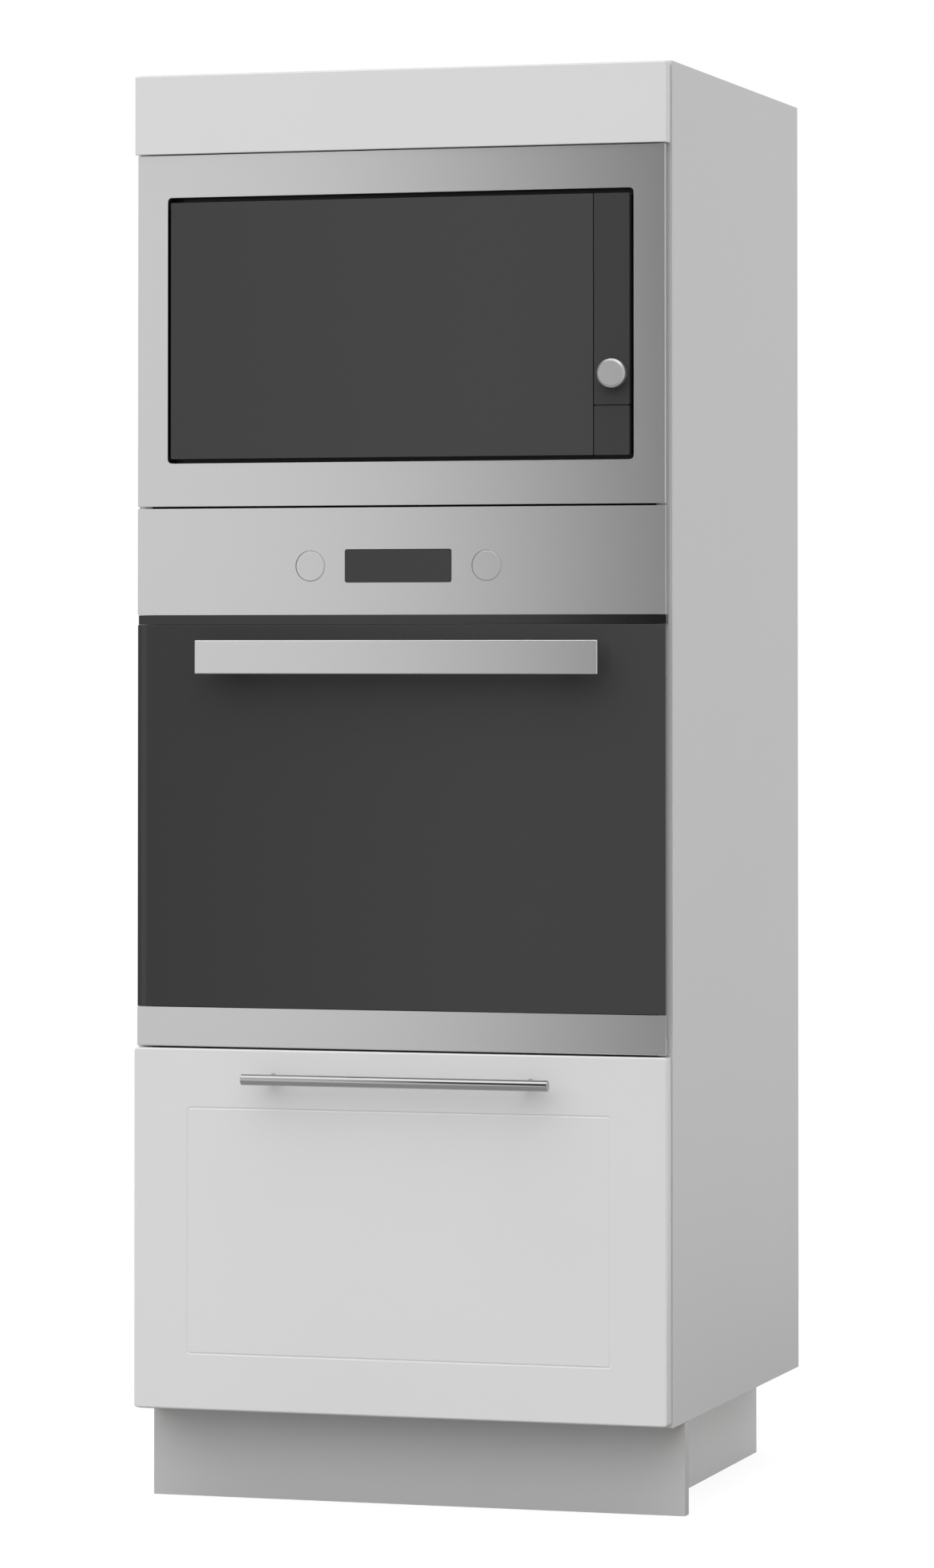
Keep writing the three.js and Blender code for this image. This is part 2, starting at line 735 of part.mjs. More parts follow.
// Enamelled box pressed with shelf ledges, and the flange that the door seal lies on.
function ovenCavity() {
  const radius = ovenCavityRadius;
  const outerX = grow(cavityX, ovenWall);
  const outerZ = grow(cavityZ, ovenWall);
  const depth = [flangeY, cavityBack];
  const tube = frame(outerX, outerZ, radius + ovenWall, cavityX, cavityZ, radius, depth);
  const backY = [cavityBack - ovenWall, cavityBack];
  const back = frontal(roundedRect(cavityX, cavityZ, radius), backY);
  const flangeX = [-casingHalf, casingHalf];
  const flangeZ = [shelfZ + fit, ovenDoorHeight - ovenFlangeDrop];
  const flange = frame(flangeX, flangeZ, 2, cavityX, cavityZ, radius, [flangeY, flangeY + ovenWall]);
  const middleZ = (cavityZ[0] + cavityZ[1]) / 2;
  const ledges = [];
  for (let level = 0; level < ledgeCount; level += 1) {
    const z = middleZ + (level - (ledgeCount - 1) / 2) * ledgePitch;
    ledges.push(pressedLedge(z), mirrored(pressedLedge(z)));
  }
  const shaftHole = rod("y", fanShaftRadius + fit, around(cavityBack, 20), [0, middleZ], 16);
  const armSlot = block(
    around(hingeX, hingeArmWidth + 2 * fit),
    [flangeY - 1, flangeY + ovenWall + 1],
    around(hingeRise, hingeArmHeight + 2 * fit),
  );
  return cut(join(tube, back, flange, ...ledges), shaftHole, armSlot, mirrored(armSlot));
}

// One ledge of the right wall: a rounded bead pressed inwards, which a shelf's edge rides on.
function pressedLedge(z) {
  const wall = cavityX[1] + ovenWall / 2;
  const tip = cavityX[1] - ledgeReach;
  const half = ledgeHeight / 2;
  const section = outline([
    [wall, z - half],
    [wall, z + half],
    [tip + ledgeBevel, z + half],
    [tip, z + half - ledgeBevel],
    [tip, z - half + ledgeBevel],
    [tip + ledgeBevel, z - half],
  ]);
  return frontal(section, [flangeY + ledgeSetback, cavityBack - ledgeSetback]);
}

// Black strip between the control panel and the door. Its face is plain, and the cooling air
// leaves through outlets that open downwards behind it, above the door frame.
function ventGrille() {
  const low = ovenDoorHeight + fit;
  const high = panelBottom - fit;
  const back = casingY - fit;
  const neckFront = trimDepth + ventWall;
  const face = block([-applianceHalf, applianceHalf], [ventSetback, neckFront], [low, high]);
  const neck = block([-casingHalf, casingHalf], [neckFront - 1, back], [low, high]);
  const outlets = [];
  const pitch = (2 * casingHalf) / (ventCount + 1);
  const outletY = [neckFront, back - ventWall];
  for (let i = 0; i < ventCount; i += 1) {
    const x = (i - (ventCount - 1) / 2) * pitch;
    outlets.push(block(around(x, pitch - ventBar), outletY, [low - 1, high - ventWall]));
  }
  return cut(join(face, neck), ...outlets);
}

// Stainless pan of the control panel, knob wells behind it, and the plate that guides the shafts.
function controlPanel() {
  const x = [-applianceHalf, applianceHalf];
  const z = [panelBottom, panelTop];
  const pan = cut(
    frontal(roundedRect(x, z, 1), [0, trimDepth]),
    block(grow(x, -sheet), [sheet, trimDepth + 1], grow(z, -sheet)),
  );
  const guideBack = casingY - fit;
  const insideZ = [panelBottom + sheet / 2, nicheTop - casingHeadroom];
  const guide = block([-casingHalf, casingHalf], [guideBack - guideThickness, guideBack], insideZ);
  const cheek = block([casingHalf - cheekThickness, casingHalf], [sheet / 2, guideBack - 1], insideZ);
  const displayShape = roundedRect(around(0, displayWidth), around(controlsZ, displayHeight), displayRadius);
  const displayHole = frontal(displayShape, [-1, sheet + 1]);
  let panel = join(pan, guide, cheek, mirrored(cheek));
  for (const x0 of [-ovenKnobSpacing / 2, ovenKnobSpacing / 2]) {
    const hole = ovenKnobRadius + ovenKnobRing;
    const centre = [x0, controlsZ];
    panel = join(panel, rod("y", hole + sheet, [sheet / 2, knobWellDepth], centre, 32));
    panel = cut(panel, rod("y", hole, [-1, knobWellDepth + 1], centre, 32));
    panel = cut(panel, rod("y", ovenShaftRadius + fit, around(guideBack, 20), centre));
  }
  return cut(panel, displayHole);
}

// Glass window of the display with its holder behind the sheet.
function ovenDisplay() {
  const x = around(0, displayWidth);
  const z = around(controlsZ, displayHeight);
  const pane = frontal(roundedRect(grow(x, -fit), grow(z, -fit), displayRadius), [displayRecess, sheet + 1]);
  const holderY = [sheet + fit, sheet + fit + displayHolderDepth];
  return join(pane, block(grow(x, displayHolderMargin), holderY, grow(z, displayHolderMargin)));
}

// Cap of a retractable knob, bored from behind for its shaft.
function knobCap(x) {
  const cap = turnedY(
    [
      [0, 0],
      [ovenKnobRadius - ovenKnobEdge, 0],
      [ovenKnobRadius, ovenKnobEdge],
      [ovenKnobRadius, ovenKnobLength],
      [0, ovenKnobLength],
    ],
    [x, controlsZ],
    32,
  );
  return cut(cap, rod("y", ovenShaftRadius + fit, [ovenKnobSkin, ovenKnobLength + 1], [x, controlsZ]));
}

// Shaft of a retractable knob: it slides in the guide plate, and its collar carries the cap.
function knobShaft(x) {
  const start = ovenKnobSkin + fit;
  const seat = ovenKnobLength + fit;
  const end = casingY + ovenKnobTravel + ovenShaftTail;
  return turnedY(
    [
      [0, start],
      [ovenShaftRadius, start],
      [ovenShaftRadius, seat],
      [ovenCollarRadius, seat],
      [ovenCollarRadius, seat + ovenCollarThickness],
      [ovenShaftRadius, seat + ovenCollarThickness],
      [ovenShaftRadius, end],
      [0, end],
    ],
    [x, controlsZ],
  );
}

// Sheet-metal box, open towards the cavity flange, with a duct slot on top and a cable opening behind.
function ovenCasing() {
  const x = [-casingHalf, casingHalf];
  const y = [casingY, casingY + ovenCasingDepth];
  const z = [shelfZ + fit, nicheTop - casingHeadroom];
  const inside = block(grow(x, -ovenWall), [y[0] - 1, y[1] - ovenWall], grow(z, -ovenWall));
  const ductY = y[1] - ovenDuctSetback;
  const duct = block(around(0, ovenDuct[0]), around(ductY, ovenDuct[1]), around(z[1], 10));
  const cableX = around(x[1] - socketInset, socketHole[0]);
  const cable = block(cableX, around(y[1], 10), around(z[1] - socketInset, socketHole[1]));
  return cut(block(x, y, z), inside, duct, cable);
}

// Fixed arm of a door hinge: a bar with a round eye and its pin.
function hingeArm() {
  const half = hingeArmHeight / 2;
  const shape = new THREE.Shape();
  shape.moveTo(hingeDepth + hingeArmLength, hingeRise + half);
  shape.lineTo(hingeDepth, hingeRise + half);
  shape.absarc(hingeDepth, hingeRise, half, Math.PI / 2, Math.PI * 1.5, false);
  shape.lineTo(hingeDepth + hingeArmLength, hingeRise - half);
  const x = around(hingeX, hingeArmWidth);
  const pin = rod("x", hingePinRadius, grow(x, hingePinReach), [hingeDepth, hingeRise], 16);
  return join(sideways(shape, x, 8), pin);
}

// Folded stainless strip along the door's foot, with a solid block at each hinge.
function doorStrip() {
  const chamfer = doorStripChamfer;
  const depth = doorStripDepth;
  const wallTop = hingeRise + doorStripBack;
  const section = outline([
    [chamfer, 0],
    [depth - chamfer, 0],
    [depth, chamfer],
    [depth, wallTop],
    [depth - sheet, wallTop],
    [depth - sheet, doorStripFloor],
    [sheet, doorStripFloor],
    [sheet, doorStripHeight],
    [0, doorStripHeight],
    [0, chamfer],
  ]);
  const solidSection = outline([
    [chamfer, 0],
    [depth - chamfer, 0],
    [depth, chamfer],
    [depth, wallTop],
    [0, wallTop],
    [0, chamfer],
  ]);
  const armX = around(hingeX, hingeArmWidth);
  const endCap = sideways(solidSection, [applianceHalf - sheet, applianceHalf]);
  const hingeBlock = sideways(solidSection, grow(armX, hingeBlockMargin));
  const armRoom = block(
    grow(armX, hingeSlack),
    [hingeDepth - hingeArmHeight / 2 - hingeSlack, depth + 1],
    [-1, hingeRise + hingeArmHeight / 2 + hingeSlack],
  );
  const boreX = grow(armX, hingePinReach + fit);
  const bore = rod("x", hingePinRadius + fit, boreX, [hingeDepth, hingeRise], 16);
  const body = sideways(section, [-applianceHalf, applianceHalf]);
  const solid = join(body, endCap, mirrored(endCap), hingeBlock, mirrored(hingeBlock));
  return cut(solid, armRoom, mirrored(armRoom), bore, mirrored(bore));
}

// Pressed frame between the two panes, a channel that is open towards the outer glass.
function doorFrame() {
  const x = [-doorFrameHalf, doorFrameHalf];
  const z = ovenFrameZ;
  const y = [doorGlass + fit, doorGlass + fit + doorFrameDepth];
  const windowX = grow(cavityX, -ovenWindowMargin);
  const windowZ = grow(cavityZ, -ovenWindowMargin);
  const body = frame(x, z, 6, windowX, windowZ, 12, y);
  const hollow = frame(
    grow(x, -sheet),
    grow(z, -sheet),
    5,
    grow(windowX, sheet),
    grow(windowZ, sheet),
    13,
    [y[0] - 1, y[1] - sheet],
  );
  const skirt = block(grow(x, -sheet), [sheet + fit, y[0] + 1], [z[0] + sheet / 2, doorStripHeight - 1]);
  return join(cut(body, hollow), skirt);
}

function innerDoorGlass() {
  const y0 = doorGlass + doorFrameDepth + 2 * fit;
  const x = grow([-doorFrameHalf, doorFrameHalf], -innerGlassMargin);
  const z = grow(ovenFrameZ, -innerGlassMargin);
  return frontal(roundedRect(x, z, 10), [y0, y0 + doorGlass]);
}

// Outer pane with a fine bevel round its face.
function outerDoorGlass() {
  const bevel = glassBevel;
  const shape = roundedRect(
    grow([-applianceHalf, applianceHalf], -bevel),
    [doorStripHeight + fit + bevel, ovenDoorHeight - bevel],
    0.6,
  );
  const geometry = new THREE.ExtrudeGeometry(shape, {
    depth: doorGlass - 2 * bevel,
    bevelSize: bevel,
    bevelThickness: bevel,
    bevelSegments: 1,
    curveSegments: 2,
  });
  geometry.rotateX(Math.PI / 2);
  geometry.translate(0, doorGlass - bevel, 0);
  return solidOf(geometry);
}

// Flat bar on two posts.
function ovenHandle() {
  const x = [handleShift - ovenHandleLength / 2, handleShift + ovenHandleLength / 2];
  const top = ovenDoorHeight - ovenHandleDrop;
  const z = [top - ovenHandleHeight, top];
  const barY = [-ovenHandleProjection, -ovenHandleProjection + ovenHandleThickness];
  const bar = frontal(roundedRect(x, z, 1), barY);
  const posts = grow(x, -ovenHandlePostInset).map((middle) => {
    const post = roundedRect(around(middle, ovenHandlePostWidth), grow(z, -ovenHandlePostMargin), 6);
    return frontal(post, [barY[1] - 1, -fit]);
  });
  return join(bar, ...posts);
}

// Dished cover over the convection fan, with radial outlets.
function fanCover() {
  const z = (cavityZ[0] + cavityZ[1]) / 2;
  const back = cavityBack - ovenWall - fit;
  const front = back - fanCoverDepth;
  const x = around(0, fanCoverWidth);
  const zSpan = around(z, fanCoverHeight);
  const inner = roundedRect(grow(x, -ovenWall), grow(zSpan, -ovenWall), fanCoverRadius - ovenWall);
  const dish = cut(
    frontal(roundedRect(x, zSpan, fanCoverRadius), [front, back]),
    frontal(inner, [front + ovenWall, back + 1]),
  );
  const slots = [];
  for (let i = 0; i < fanCoverSlots; i += 1) {
    const slot = block(fanSlotSpan, [front - 1, front + ovenWall + 1], around(0, fanSlotWidth));
    slots.push(slot.rotate([0, (360 / fanCoverSlots) * i, 0]).translate([0, 0, z]));
  }
  return cut(dish, ...slots);
}

// Convection fan: back disc, straight blades and the motor's shaft.
function ovenFan() {
  const z = (cavityZ[0] + cavityZ[1]) / 2;
  const back = cavityBack - ovenWall - fanBackGap;
  const front = back - fanDepth;
  const wheel = turnedY(
    [
      [0, front],
      [fanHubRadius, front],
      [fanHubRadius, back - fanDisc],
      [fanRadius, back - fanDisc],
      [fanRadius, back],
      [fanShaftRadius, back],
      [fanShaftRadius, back + fanShaftLength],
      [0, back + fanShaftLength],
    ],
    [0, z],
  );
  const blades = [];
  for (let i = 0; i < fanBlades; i += 1) {
    const bladeX = [fanBladeStart, fanRadius - 1];
    const blade = block(bladeX, [front, back - fanDisc / 2], around(0, fanBladeThickness));
    blades.push(blade.rotate([0, (360 / fanBlades) * i, 0]).translate([0, 0, z]));
  }
  return join(wheel, ...blades);
}

// Chromed wire shelf that rides on the middle pair of ledges.
function wireShelf() {
  const r = wireRadius;
  const half = ovenCavityWidth / 2 - wireSideGap - r;
  const y = [flangeY + wireEndGap, cavityBack - fanCoverDepth - wireEndGap];
  const z = (cavityZ[0] + cavityZ[1]) / 2 + ledgeHeight / 2 + fit + r;
  const rails = [
    rod("y", r, y, [-half, z], 8),
    rod("y", r, y, [half, z], 8),
    rod("x", r, [-half, half], [y[0] + r, z], 8),
    rod("x", r, [-half, half], [y[1] - r, z], 8),
  ];
  for (let i = 0; i < wireCount; i += 1) {
    const x = (2 * half * (i + 1)) / (wireCount + 1) - half;
    rails.push(rod("y", crossWireRadius, grow(y, -r), [x, z], 6));
  }
  return join(...rails);
}

function addOven(root) {
  const group = new THREE.Group();
  group.position.set(0, applianceRecess, ovenDoorBottom);
  addPiece(group, "oven_casing", ovenCasing(), materials.zinc);
  addPiece(group, "oven_cavity", ovenCavity(), materials.greyEnamel);
  addPiece(group, "oven_vent_grille", ventGrille(), materials.blackEnamel);
  addPiece(group, "oven_control_panel", controlPanel(), materials.steel);
  addPiece(group, "oven_display", ovenDisplay(), materials.darkGlass);
  addPiece(group, "oven_fan_cover", fanCover(), materials.greyEnamel);
  addPiece(group, "oven_fan", ovenFan(), materials.zinc);
  addPiece(group, "oven_wire_shelf", wireShelf(), materials.chrome);
  for (const side of Object.keys(sides)) {
    const x = (side === "left" ? -ovenKnobSpacing : ovenKnobSpacing) / 2;
    addPiece(group, `oven_hinge_arm_${side}`, sides[side](hingeArm()), materials.zinc);
    addPiece(group, `oven_knob_shaft_${side}`, knobShaft(x), materials.zinc);
    addPiece(group, `oven_knob_cap_${side}`, knobCap(x), materials.steel);
  }
  const door = new THREE.Group();
  addPiece(door, "oven_door_glass", outerDoorGlass(), materials.darkGlass);
  addPiece(door, "oven_door_strip", doorStrip(), materials.steel);
  addPiece(door, "oven_door_frame", doorFrame(), materials.blackEnamel);
  addPiece(door, "oven_door_inner_glass", innerDoorGlass(), materials.darkGlass);
  addPiece(door, "oven_door_handle", ovenHandle(), materials.steel);
  group.add(door);
  root.add(group);
}

// ---- microwave: Y = 0 is the trim's face, Z = 0 its lower edge

const trimOpeningX = [-applianceHalf + trimSide, applianceHalf - trimSide];
const trimOpeningZ = [trimBottom, microwaveHeight - trimTop];
const glassX = grow(trimOpeningX, -revealWidth);
const glassZ = [trimOpeningZ[0] + revealBelow, trimOpeningZ[1] - revealAbove];
const columnX = [glassX[1] - columnWidth, glassX[1]];
const doorX = [glassX[0], columnX[0] - columnGap];
const columnZ = [glassZ[0] + buttonHeight + columnGap, glassZ[1]];
const microwaveAxis = [glassX[0] + microwaveHingeInset, microwaveHingeDepth];
const faceY = microwaveFaceDepth;
const microwaveCavityX = grow(doorX, -microwaveCavityInset);
const microwaveCavityZ = grow(glassZ, -microwaveCavityMargin);
const microwaveFloor = microwaveShelfDrop + fit;
const microwaveKnobCentre = [
  (columnX[0] + columnX[1]) / 2 + microwaveKnobShift,
  columnZ[0] + microwaveKnobRise,
];
const turntableCentre = [
  (microwaveCavityX[0] + microwaveCavityX[1]) / 2,
  faceY + microwaveCavityDepth / 2,
];
const doorFrameX = [doorX[0] + hingeStile, doorX[1] - latchStile];
const doorFrameZ = grow(glassZ, -microwaveRail);
const buttonBack = -glassProud + buttonDepth;
const latchX = [doorFrameX[1] - latchStandoff - latchThickness, doorFrameX[1] - latchStandoff];
const latchHeights = grow(doorFrameZ, -latchInset);

function trimFrame() {
  const x = [-applianceHalf, applianceHalf];
  const z = [0, microwaveHeight];
  const plate = frame(x, z, 1, trimOpeningX, trimOpeningZ, trimRadius, [0, trimDepth]);
  const fold = frame(
    grow(x, -sheet),
    grow(z, -sheet),
    0.5,
    grow(trimOpeningX, sheet),
    grow(trimOpeningZ, sheet),
    trimRadius + sheet,
    [sheet, trimDepth + 1],
  );
  return cut(plate, fold);
}

// Face plate, dark tunnel behind the trim, cooking cavity and the door's hinge lugs, in one welded piece.
function microwaveCavity() {
  const radius = microwaveCavityRadius;
  const wall = sheet;
  const plateX = [-casingHalf, casingHalf];
  const plateZ = [microwaveFloor, microwaveHeight - microwavePlateDrop];
  const plateY = [faceY, faceY + wall];
  const plate = frame(plateX, plateZ, 2, microwaveCavityX, microwaveCavityZ, radius, plateY);
  const lining = tunnelSlack + tunnelWall;
  const tunnel = frame(
    grow(trimOpeningX, lining),
    grow(trimOpeningZ, lining),
    trimRadius + lining,
    grow(trimOpeningX, tunnelSlack),
    grow(trimOpeningZ, tunnelSlack),
    trimRadius + tunnelSlack,
    [trimDepth + fit, faceY + wall / 2],
  );
  const box = frame(
    grow(microwaveCavityX, wall),
    grow(microwaveCavityZ, wall),
    radius + wall,
    microwaveCavityX,
    microwaveCavityZ,
    radius,
    [faceY, faceY + microwaveCavityDepth],
  );
  const back = frontal(
    roundedRect(microwaveCavityX, microwaveCavityZ, radius),
    [faceY + microwaveCavityDepth - wall, faceY + microwaveCavityDepth],
  );
  const low = doorFrameZ[0] - fit - microwaveLugThickness;
  const high = doorFrameZ[1] + fit;
  const solid = join(plate, tunnel, box, back, hingeLug(low, 1), hingeLug(high, -1));
  const spindle = rod("z", hubShaftRadius + fit, around(microwaveCavityZ[0], 10), turntableCentre, 16);
  const throughPlate = grow(plateY, 1);
  const slotX = grow(latchX, latchRoom / 2);
  const slots = latchHeights.map((z) =>
    block(slotX, throughPlate, [z - latchHalf - latchNose - latchRoom, z + latchHalf + latchRoom]),
  );
  const shaft = rod("y", microwaveShaftRadius + fit, throughPlate, microwaveKnobCentre);
  const stem = buttonStem(fit);
  return cut(solid, spindle, ...slots, shaft, stem);
}

// A lug with the vertical pin that the door turns on; the pin points into the door frame.
function hingeLug(z, direction) {
  const [x, y] = microwaveAxis;
  const r = microwaveLugRadius;
  const shape = new THREE.Shape();
  shape.moveTo(x + r, faceY + sheet / 2);
  shape.lineTo(x - r, faceY + sheet / 2);
  shape.lineTo(x - r, y);
  shape.absarc(x, y, r, Math.PI, Math.PI * 2, false);
  const geometry = new THREE.ExtrudeGeometry(shape, {
    depth: microwaveLugThickness,
    bevelEnabled: false,
    curveSegments: 8,
  });
  geometry.translate(0, 0, z);
  const top = z + microwaveLugThickness;
  const span = direction > 0 ? [top - 1, top + microwavePinLength] : [z - microwavePinLength, z + 1];
  return join(solidOf(geometry), rod("z", microwavePinRadius, span, [x, y], 14));
}

function microwaveCasing() {
  const x = [-casingHalf, casingHalf];
  const y = [faceY + sheet + fit, faceY + sheet + fit + microwaveCasingDepth];
  const z = [microwaveFloor, microwaveHeight - microwaveCasingDrop];
  const inside = block(grow(x, -sheet), [y[0] - 1, y[1] - sheet], grow(z, -sheet));
  const cableX = around(x[0] + socketInset, socketHole[0]);
  const cable = block(cableX, around(y[1], 10), around(z[0] + socketInset, socketHole[1]));
  return cut(block(x, y, z), inside, cable);
}

// Fixed front of the controls: a moulded box that is open behind, above the release button.
function controlColumn() {
  const face = -glassProud;
  const wall = columnWall;
  const back = faceY - fit;
  const shell = cut(
    frontal(roundedRect(columnX, columnZ, glassCorner), [face, back]),
    block(grow(columnX, -wall), [face + microwaveGlass, back + 1], grow(columnZ, -wall)),
  );
  const footFront = buttonBack + buttonTravel + buttonOvertravel;
  const foot = block(grow(columnX, -1), [footFront, back], [glassZ[0] + 1, columnZ[0] + wall]);
  const boreY = [face - 1, face + microwaveGlass + 1];
  const bore = rod("y", microwaveShaftRadius + fit, boreY, microwaveKnobCentre);
  return cut(join(shell, foot), bore, buttonStem(fit));
}

// The stem behind the release button, or the passage for it when a clearance is given.
function buttonStem(clearance = 0) {
  const [width, height] = buttonStemSize;
  const x = (columnX[0] + columnX[1]) / 2;
  const z = glassZ[0] + buttonHeight / 2;
  const end = faceY + buttonStemReach + (clearance > 0 ? buttonTravel + sheet : 0);
  return block(around(x, width + 2 * clearance), [buttonBack - 0.5, end], around(z, height + 2 * clearance));
}

function releaseButton() {
  const z = [glassZ[0], glassZ[0] + buttonHeight];
  const cap = frontal(roundedRect(columnX, z, glassCorner), [-glassProud, buttonBack]);
  return join(cap, buttonStem());
}

function microwaveKnob() {
  const seat = -glassProud - fit;
  const front = seat - microwaveKnobLength;
  const shaftEnd = faceY + microwaveShaftTail;
  return turnedY(
    [
      [0, front],
      [microwaveKnobRadius - microwaveKnobChamfer, front],
      [microwaveKnobRadius, front + microwaveKnobChamfer],
      [microwaveKnobRadius, seat],
      [microwaveShaftRadius, seat],
      [microwaveShaftRadius, shaftEnd],
      [0, shaftEnd],
    ],
    microwaveKnobCentre,
    32,
  );
}

function microwaveDoorGlass() {
  return frontal(roundedRect(doorX, glassZ, glassCorner), [-glassProud, -glassProud + microwaveGlass]);
}

// Moulded frame behind the glass, closed towards the cavity by the screen, with two latch hooks.
function microwaveDoorFrame() {
  const front = -glassProud + microwaveGlass + fit;
  const y = [front, front + microwaveDoorDepth];
  const screenX = grow(microwaveCavityX, -screenMarginX);
  const screenZ = grow(microwaveCavityZ, -screenMarginZ);
  const body = cut(
    frontal(roundedRect(doorFrameX, doorFrameZ, 3), y),
    frontal(roundedRect(screenX, screenZ, 10), [y[0] - 1, y[1] - microwaveScreen]),
  );
  const tip = y[1] + latchReach;
  const hooks = latchHeights.map((z) => {
    const shape = outline([
      [y[1] - 1, z - latchHalf],
      [tip - 2 * latchNose, z - latchHalf],
      [tip - latchNose, z - latchHalf - latchNose],
      [tip, z - latchHalf - latchNose],
      [tip, z + latchHalf],
      [y[1] - 1, z + latchHalf],
    ]);
    return sideways(shape, latchX);
  });
  const boreDepth = microwavePinLength + fit;
  const bores = doorFrameZ.map((end) =>
    rod("z", microwavePinRadius + fit, grow([end, end], boreDepth), microwaveAxis, 14),
  );
  return cut(join(body, ...hooks), ...bores);
}

// Glass plate with a raised rim, and the drive hub that it sits on.
function turntablePlate() {
  const floor = microwaveCavityZ[0] + turntableRise;
  const lip = turntableRadius - turntableRimWidth;
  const top = floor + turntableRim + turntableRimWidth;
  return turnedZ(
    [
      [0, floor],
      [turntableRadius - turntableSlope, floor],
      [turntableRadius, floor + turntableRim],
      [turntableRadius, top],
      [lip, top],
      [lip - turntableSlope, floor + turntableGlass],
      [0, floor + turntableGlass],
    ],
    turntableCentre,
    36,
  );
}

function turntableHub() {
  const floor = microwaveCavityZ[0];
  const top = floor + turntableRise - fit;
  return turnedZ(
    [
      [0, floor - hubShaftLength],
      [hubShaftRadius, floor - hubShaftLength],
      [hubShaftRadius, floor + hubSlack],
      [hubNeck, floor + hubSlack],
      [hubRadius, top - 3],
      [hubRadius, top],
      [0, top],
    ],
    turntableCentre,
    20,
  );
}

function addMicrowave(root) {
  const group = new THREE.Group();
  group.position.set(0, applianceRecess, microwaveBottom);
  addPiece(group, "microwave_trim_frame", trimFrame(), materials.steel);
  addPiece(group, "microwave_cavity", microwaveCavity(), materials.blackEnamel);
  addPiece(group, "microwave_casing", microwaveCasing(), materials.zinc);
  addPiece(group, "microwave_control_column", controlColumn(), materials.darkGlass);
  addPiece(group, "microwave_release_button", releaseButton(), materials.darkGlass);
  addPiece(group, "microwave_knob", microwaveKnob(), materials.steel);
  addPiece(group, "microwave_turntable", turntablePlate(), materials.clearGlass);
  addPiece(group, "microwave_turntable_hub", turntableHub(), materials.blackPlastic);
  const door = new THREE.Group();
  addPiece(door, "microwave_door_glass", microwaveDoorGlass(), materials.darkGlass);
  addPiece(door, "microwave_door_frame", microwaveDoorFrame(), materials.blackPlastic);
  group.add(door);
  root.add(group);
}

// ---- assembly, with the origin on the floor under the middle of the whole depth

const handleFront = Math.max(barProjection + barRadius, ovenHandleProjection - applianceRecess);
const housing = new THREE.Group();
housing.position.set(0, (handleFront - carcassBack) / 2, 0);
addCabinet(housing);
addPlinth(housing);
addDrawer(housing);
addOven(housing);
addMicrowave(housing);

const assembly = new THREE.Group();
assembly.add(housing);
export default assembly;
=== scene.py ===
import math

import bmesh
import bpy
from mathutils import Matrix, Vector


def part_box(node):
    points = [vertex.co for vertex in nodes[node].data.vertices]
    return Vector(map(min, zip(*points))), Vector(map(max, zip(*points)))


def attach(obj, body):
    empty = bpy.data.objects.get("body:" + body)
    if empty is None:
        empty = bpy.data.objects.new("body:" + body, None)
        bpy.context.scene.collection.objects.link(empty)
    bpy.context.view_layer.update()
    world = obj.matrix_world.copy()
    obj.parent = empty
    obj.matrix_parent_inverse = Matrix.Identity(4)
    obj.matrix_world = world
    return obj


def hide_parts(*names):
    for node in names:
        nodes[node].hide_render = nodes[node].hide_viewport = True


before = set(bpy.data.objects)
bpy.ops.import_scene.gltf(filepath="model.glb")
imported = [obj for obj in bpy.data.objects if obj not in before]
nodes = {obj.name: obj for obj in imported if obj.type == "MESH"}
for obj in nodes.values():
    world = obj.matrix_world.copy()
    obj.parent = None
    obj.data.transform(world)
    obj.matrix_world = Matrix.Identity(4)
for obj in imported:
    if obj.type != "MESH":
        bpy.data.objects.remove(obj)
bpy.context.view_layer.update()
mm = 0.001
leastCorner = 0.02 * mm  # keeps the points of a sharp corner apart


def linear(hexColour):
    channels = [int(hexColour[i : i + 2], 16) / 255 for i in (1, 3, 5)]
    curve = [c / 12.92 if c <= 0.04045 else ((c + 0.055) / 1.055) ** 2.4 for c in channels]
    return (*curve, 1.0)


def addNode(tree, kind, inputs=None, stops=(), **settings):
    # An input that is a socket gets a link.
    # Stops are the (position, brightness) points of a ramp, with both of its ends first.
    node = tree.nodes.new("ShaderNode" + kind)
    for name, value in settings.items():
        setattr(node, name, value)
    for socket, value in (inputs or {}).items():
        if isinstance(value, bpy.types.NodeSocket):
            tree.links.new(value, node.inputs[socket])
        else:
            node.inputs[socket].default_value = value
    for i, (place, value) in enumerate(stops):
        points = node.color_ramp.elements
        point = points[i] if i < 2 else points.new(place)
        point.position = place
        point.color = (value, value, value, 1)
    return node


def startMaterial(name, colour, roughness, more=None):
    material = bpy.data.materials.new(name)
    material.use_nodes = True
    tree = material.node_tree
    shader = tree.nodes["Principled BSDF"]
    inputs = {"Base Color": linear(colour), "Roughness": roughness, **(more or {})}
    for socket, value in inputs.items():
        shader.inputs[socket].default_value = value
    place = addNode(tree, "TexCoord").outputs["Object"]
    return material, tree, shader, place


def finishPiece(name, data, material, body, replaced=()):
    piece = bpy.data.objects.new(name, data)
    bpy.context.scene.collection.objects.link(piece)
    data.materials.append(material)
    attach(piece, body)
    if replaced:
        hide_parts(*replaced)
    return piece


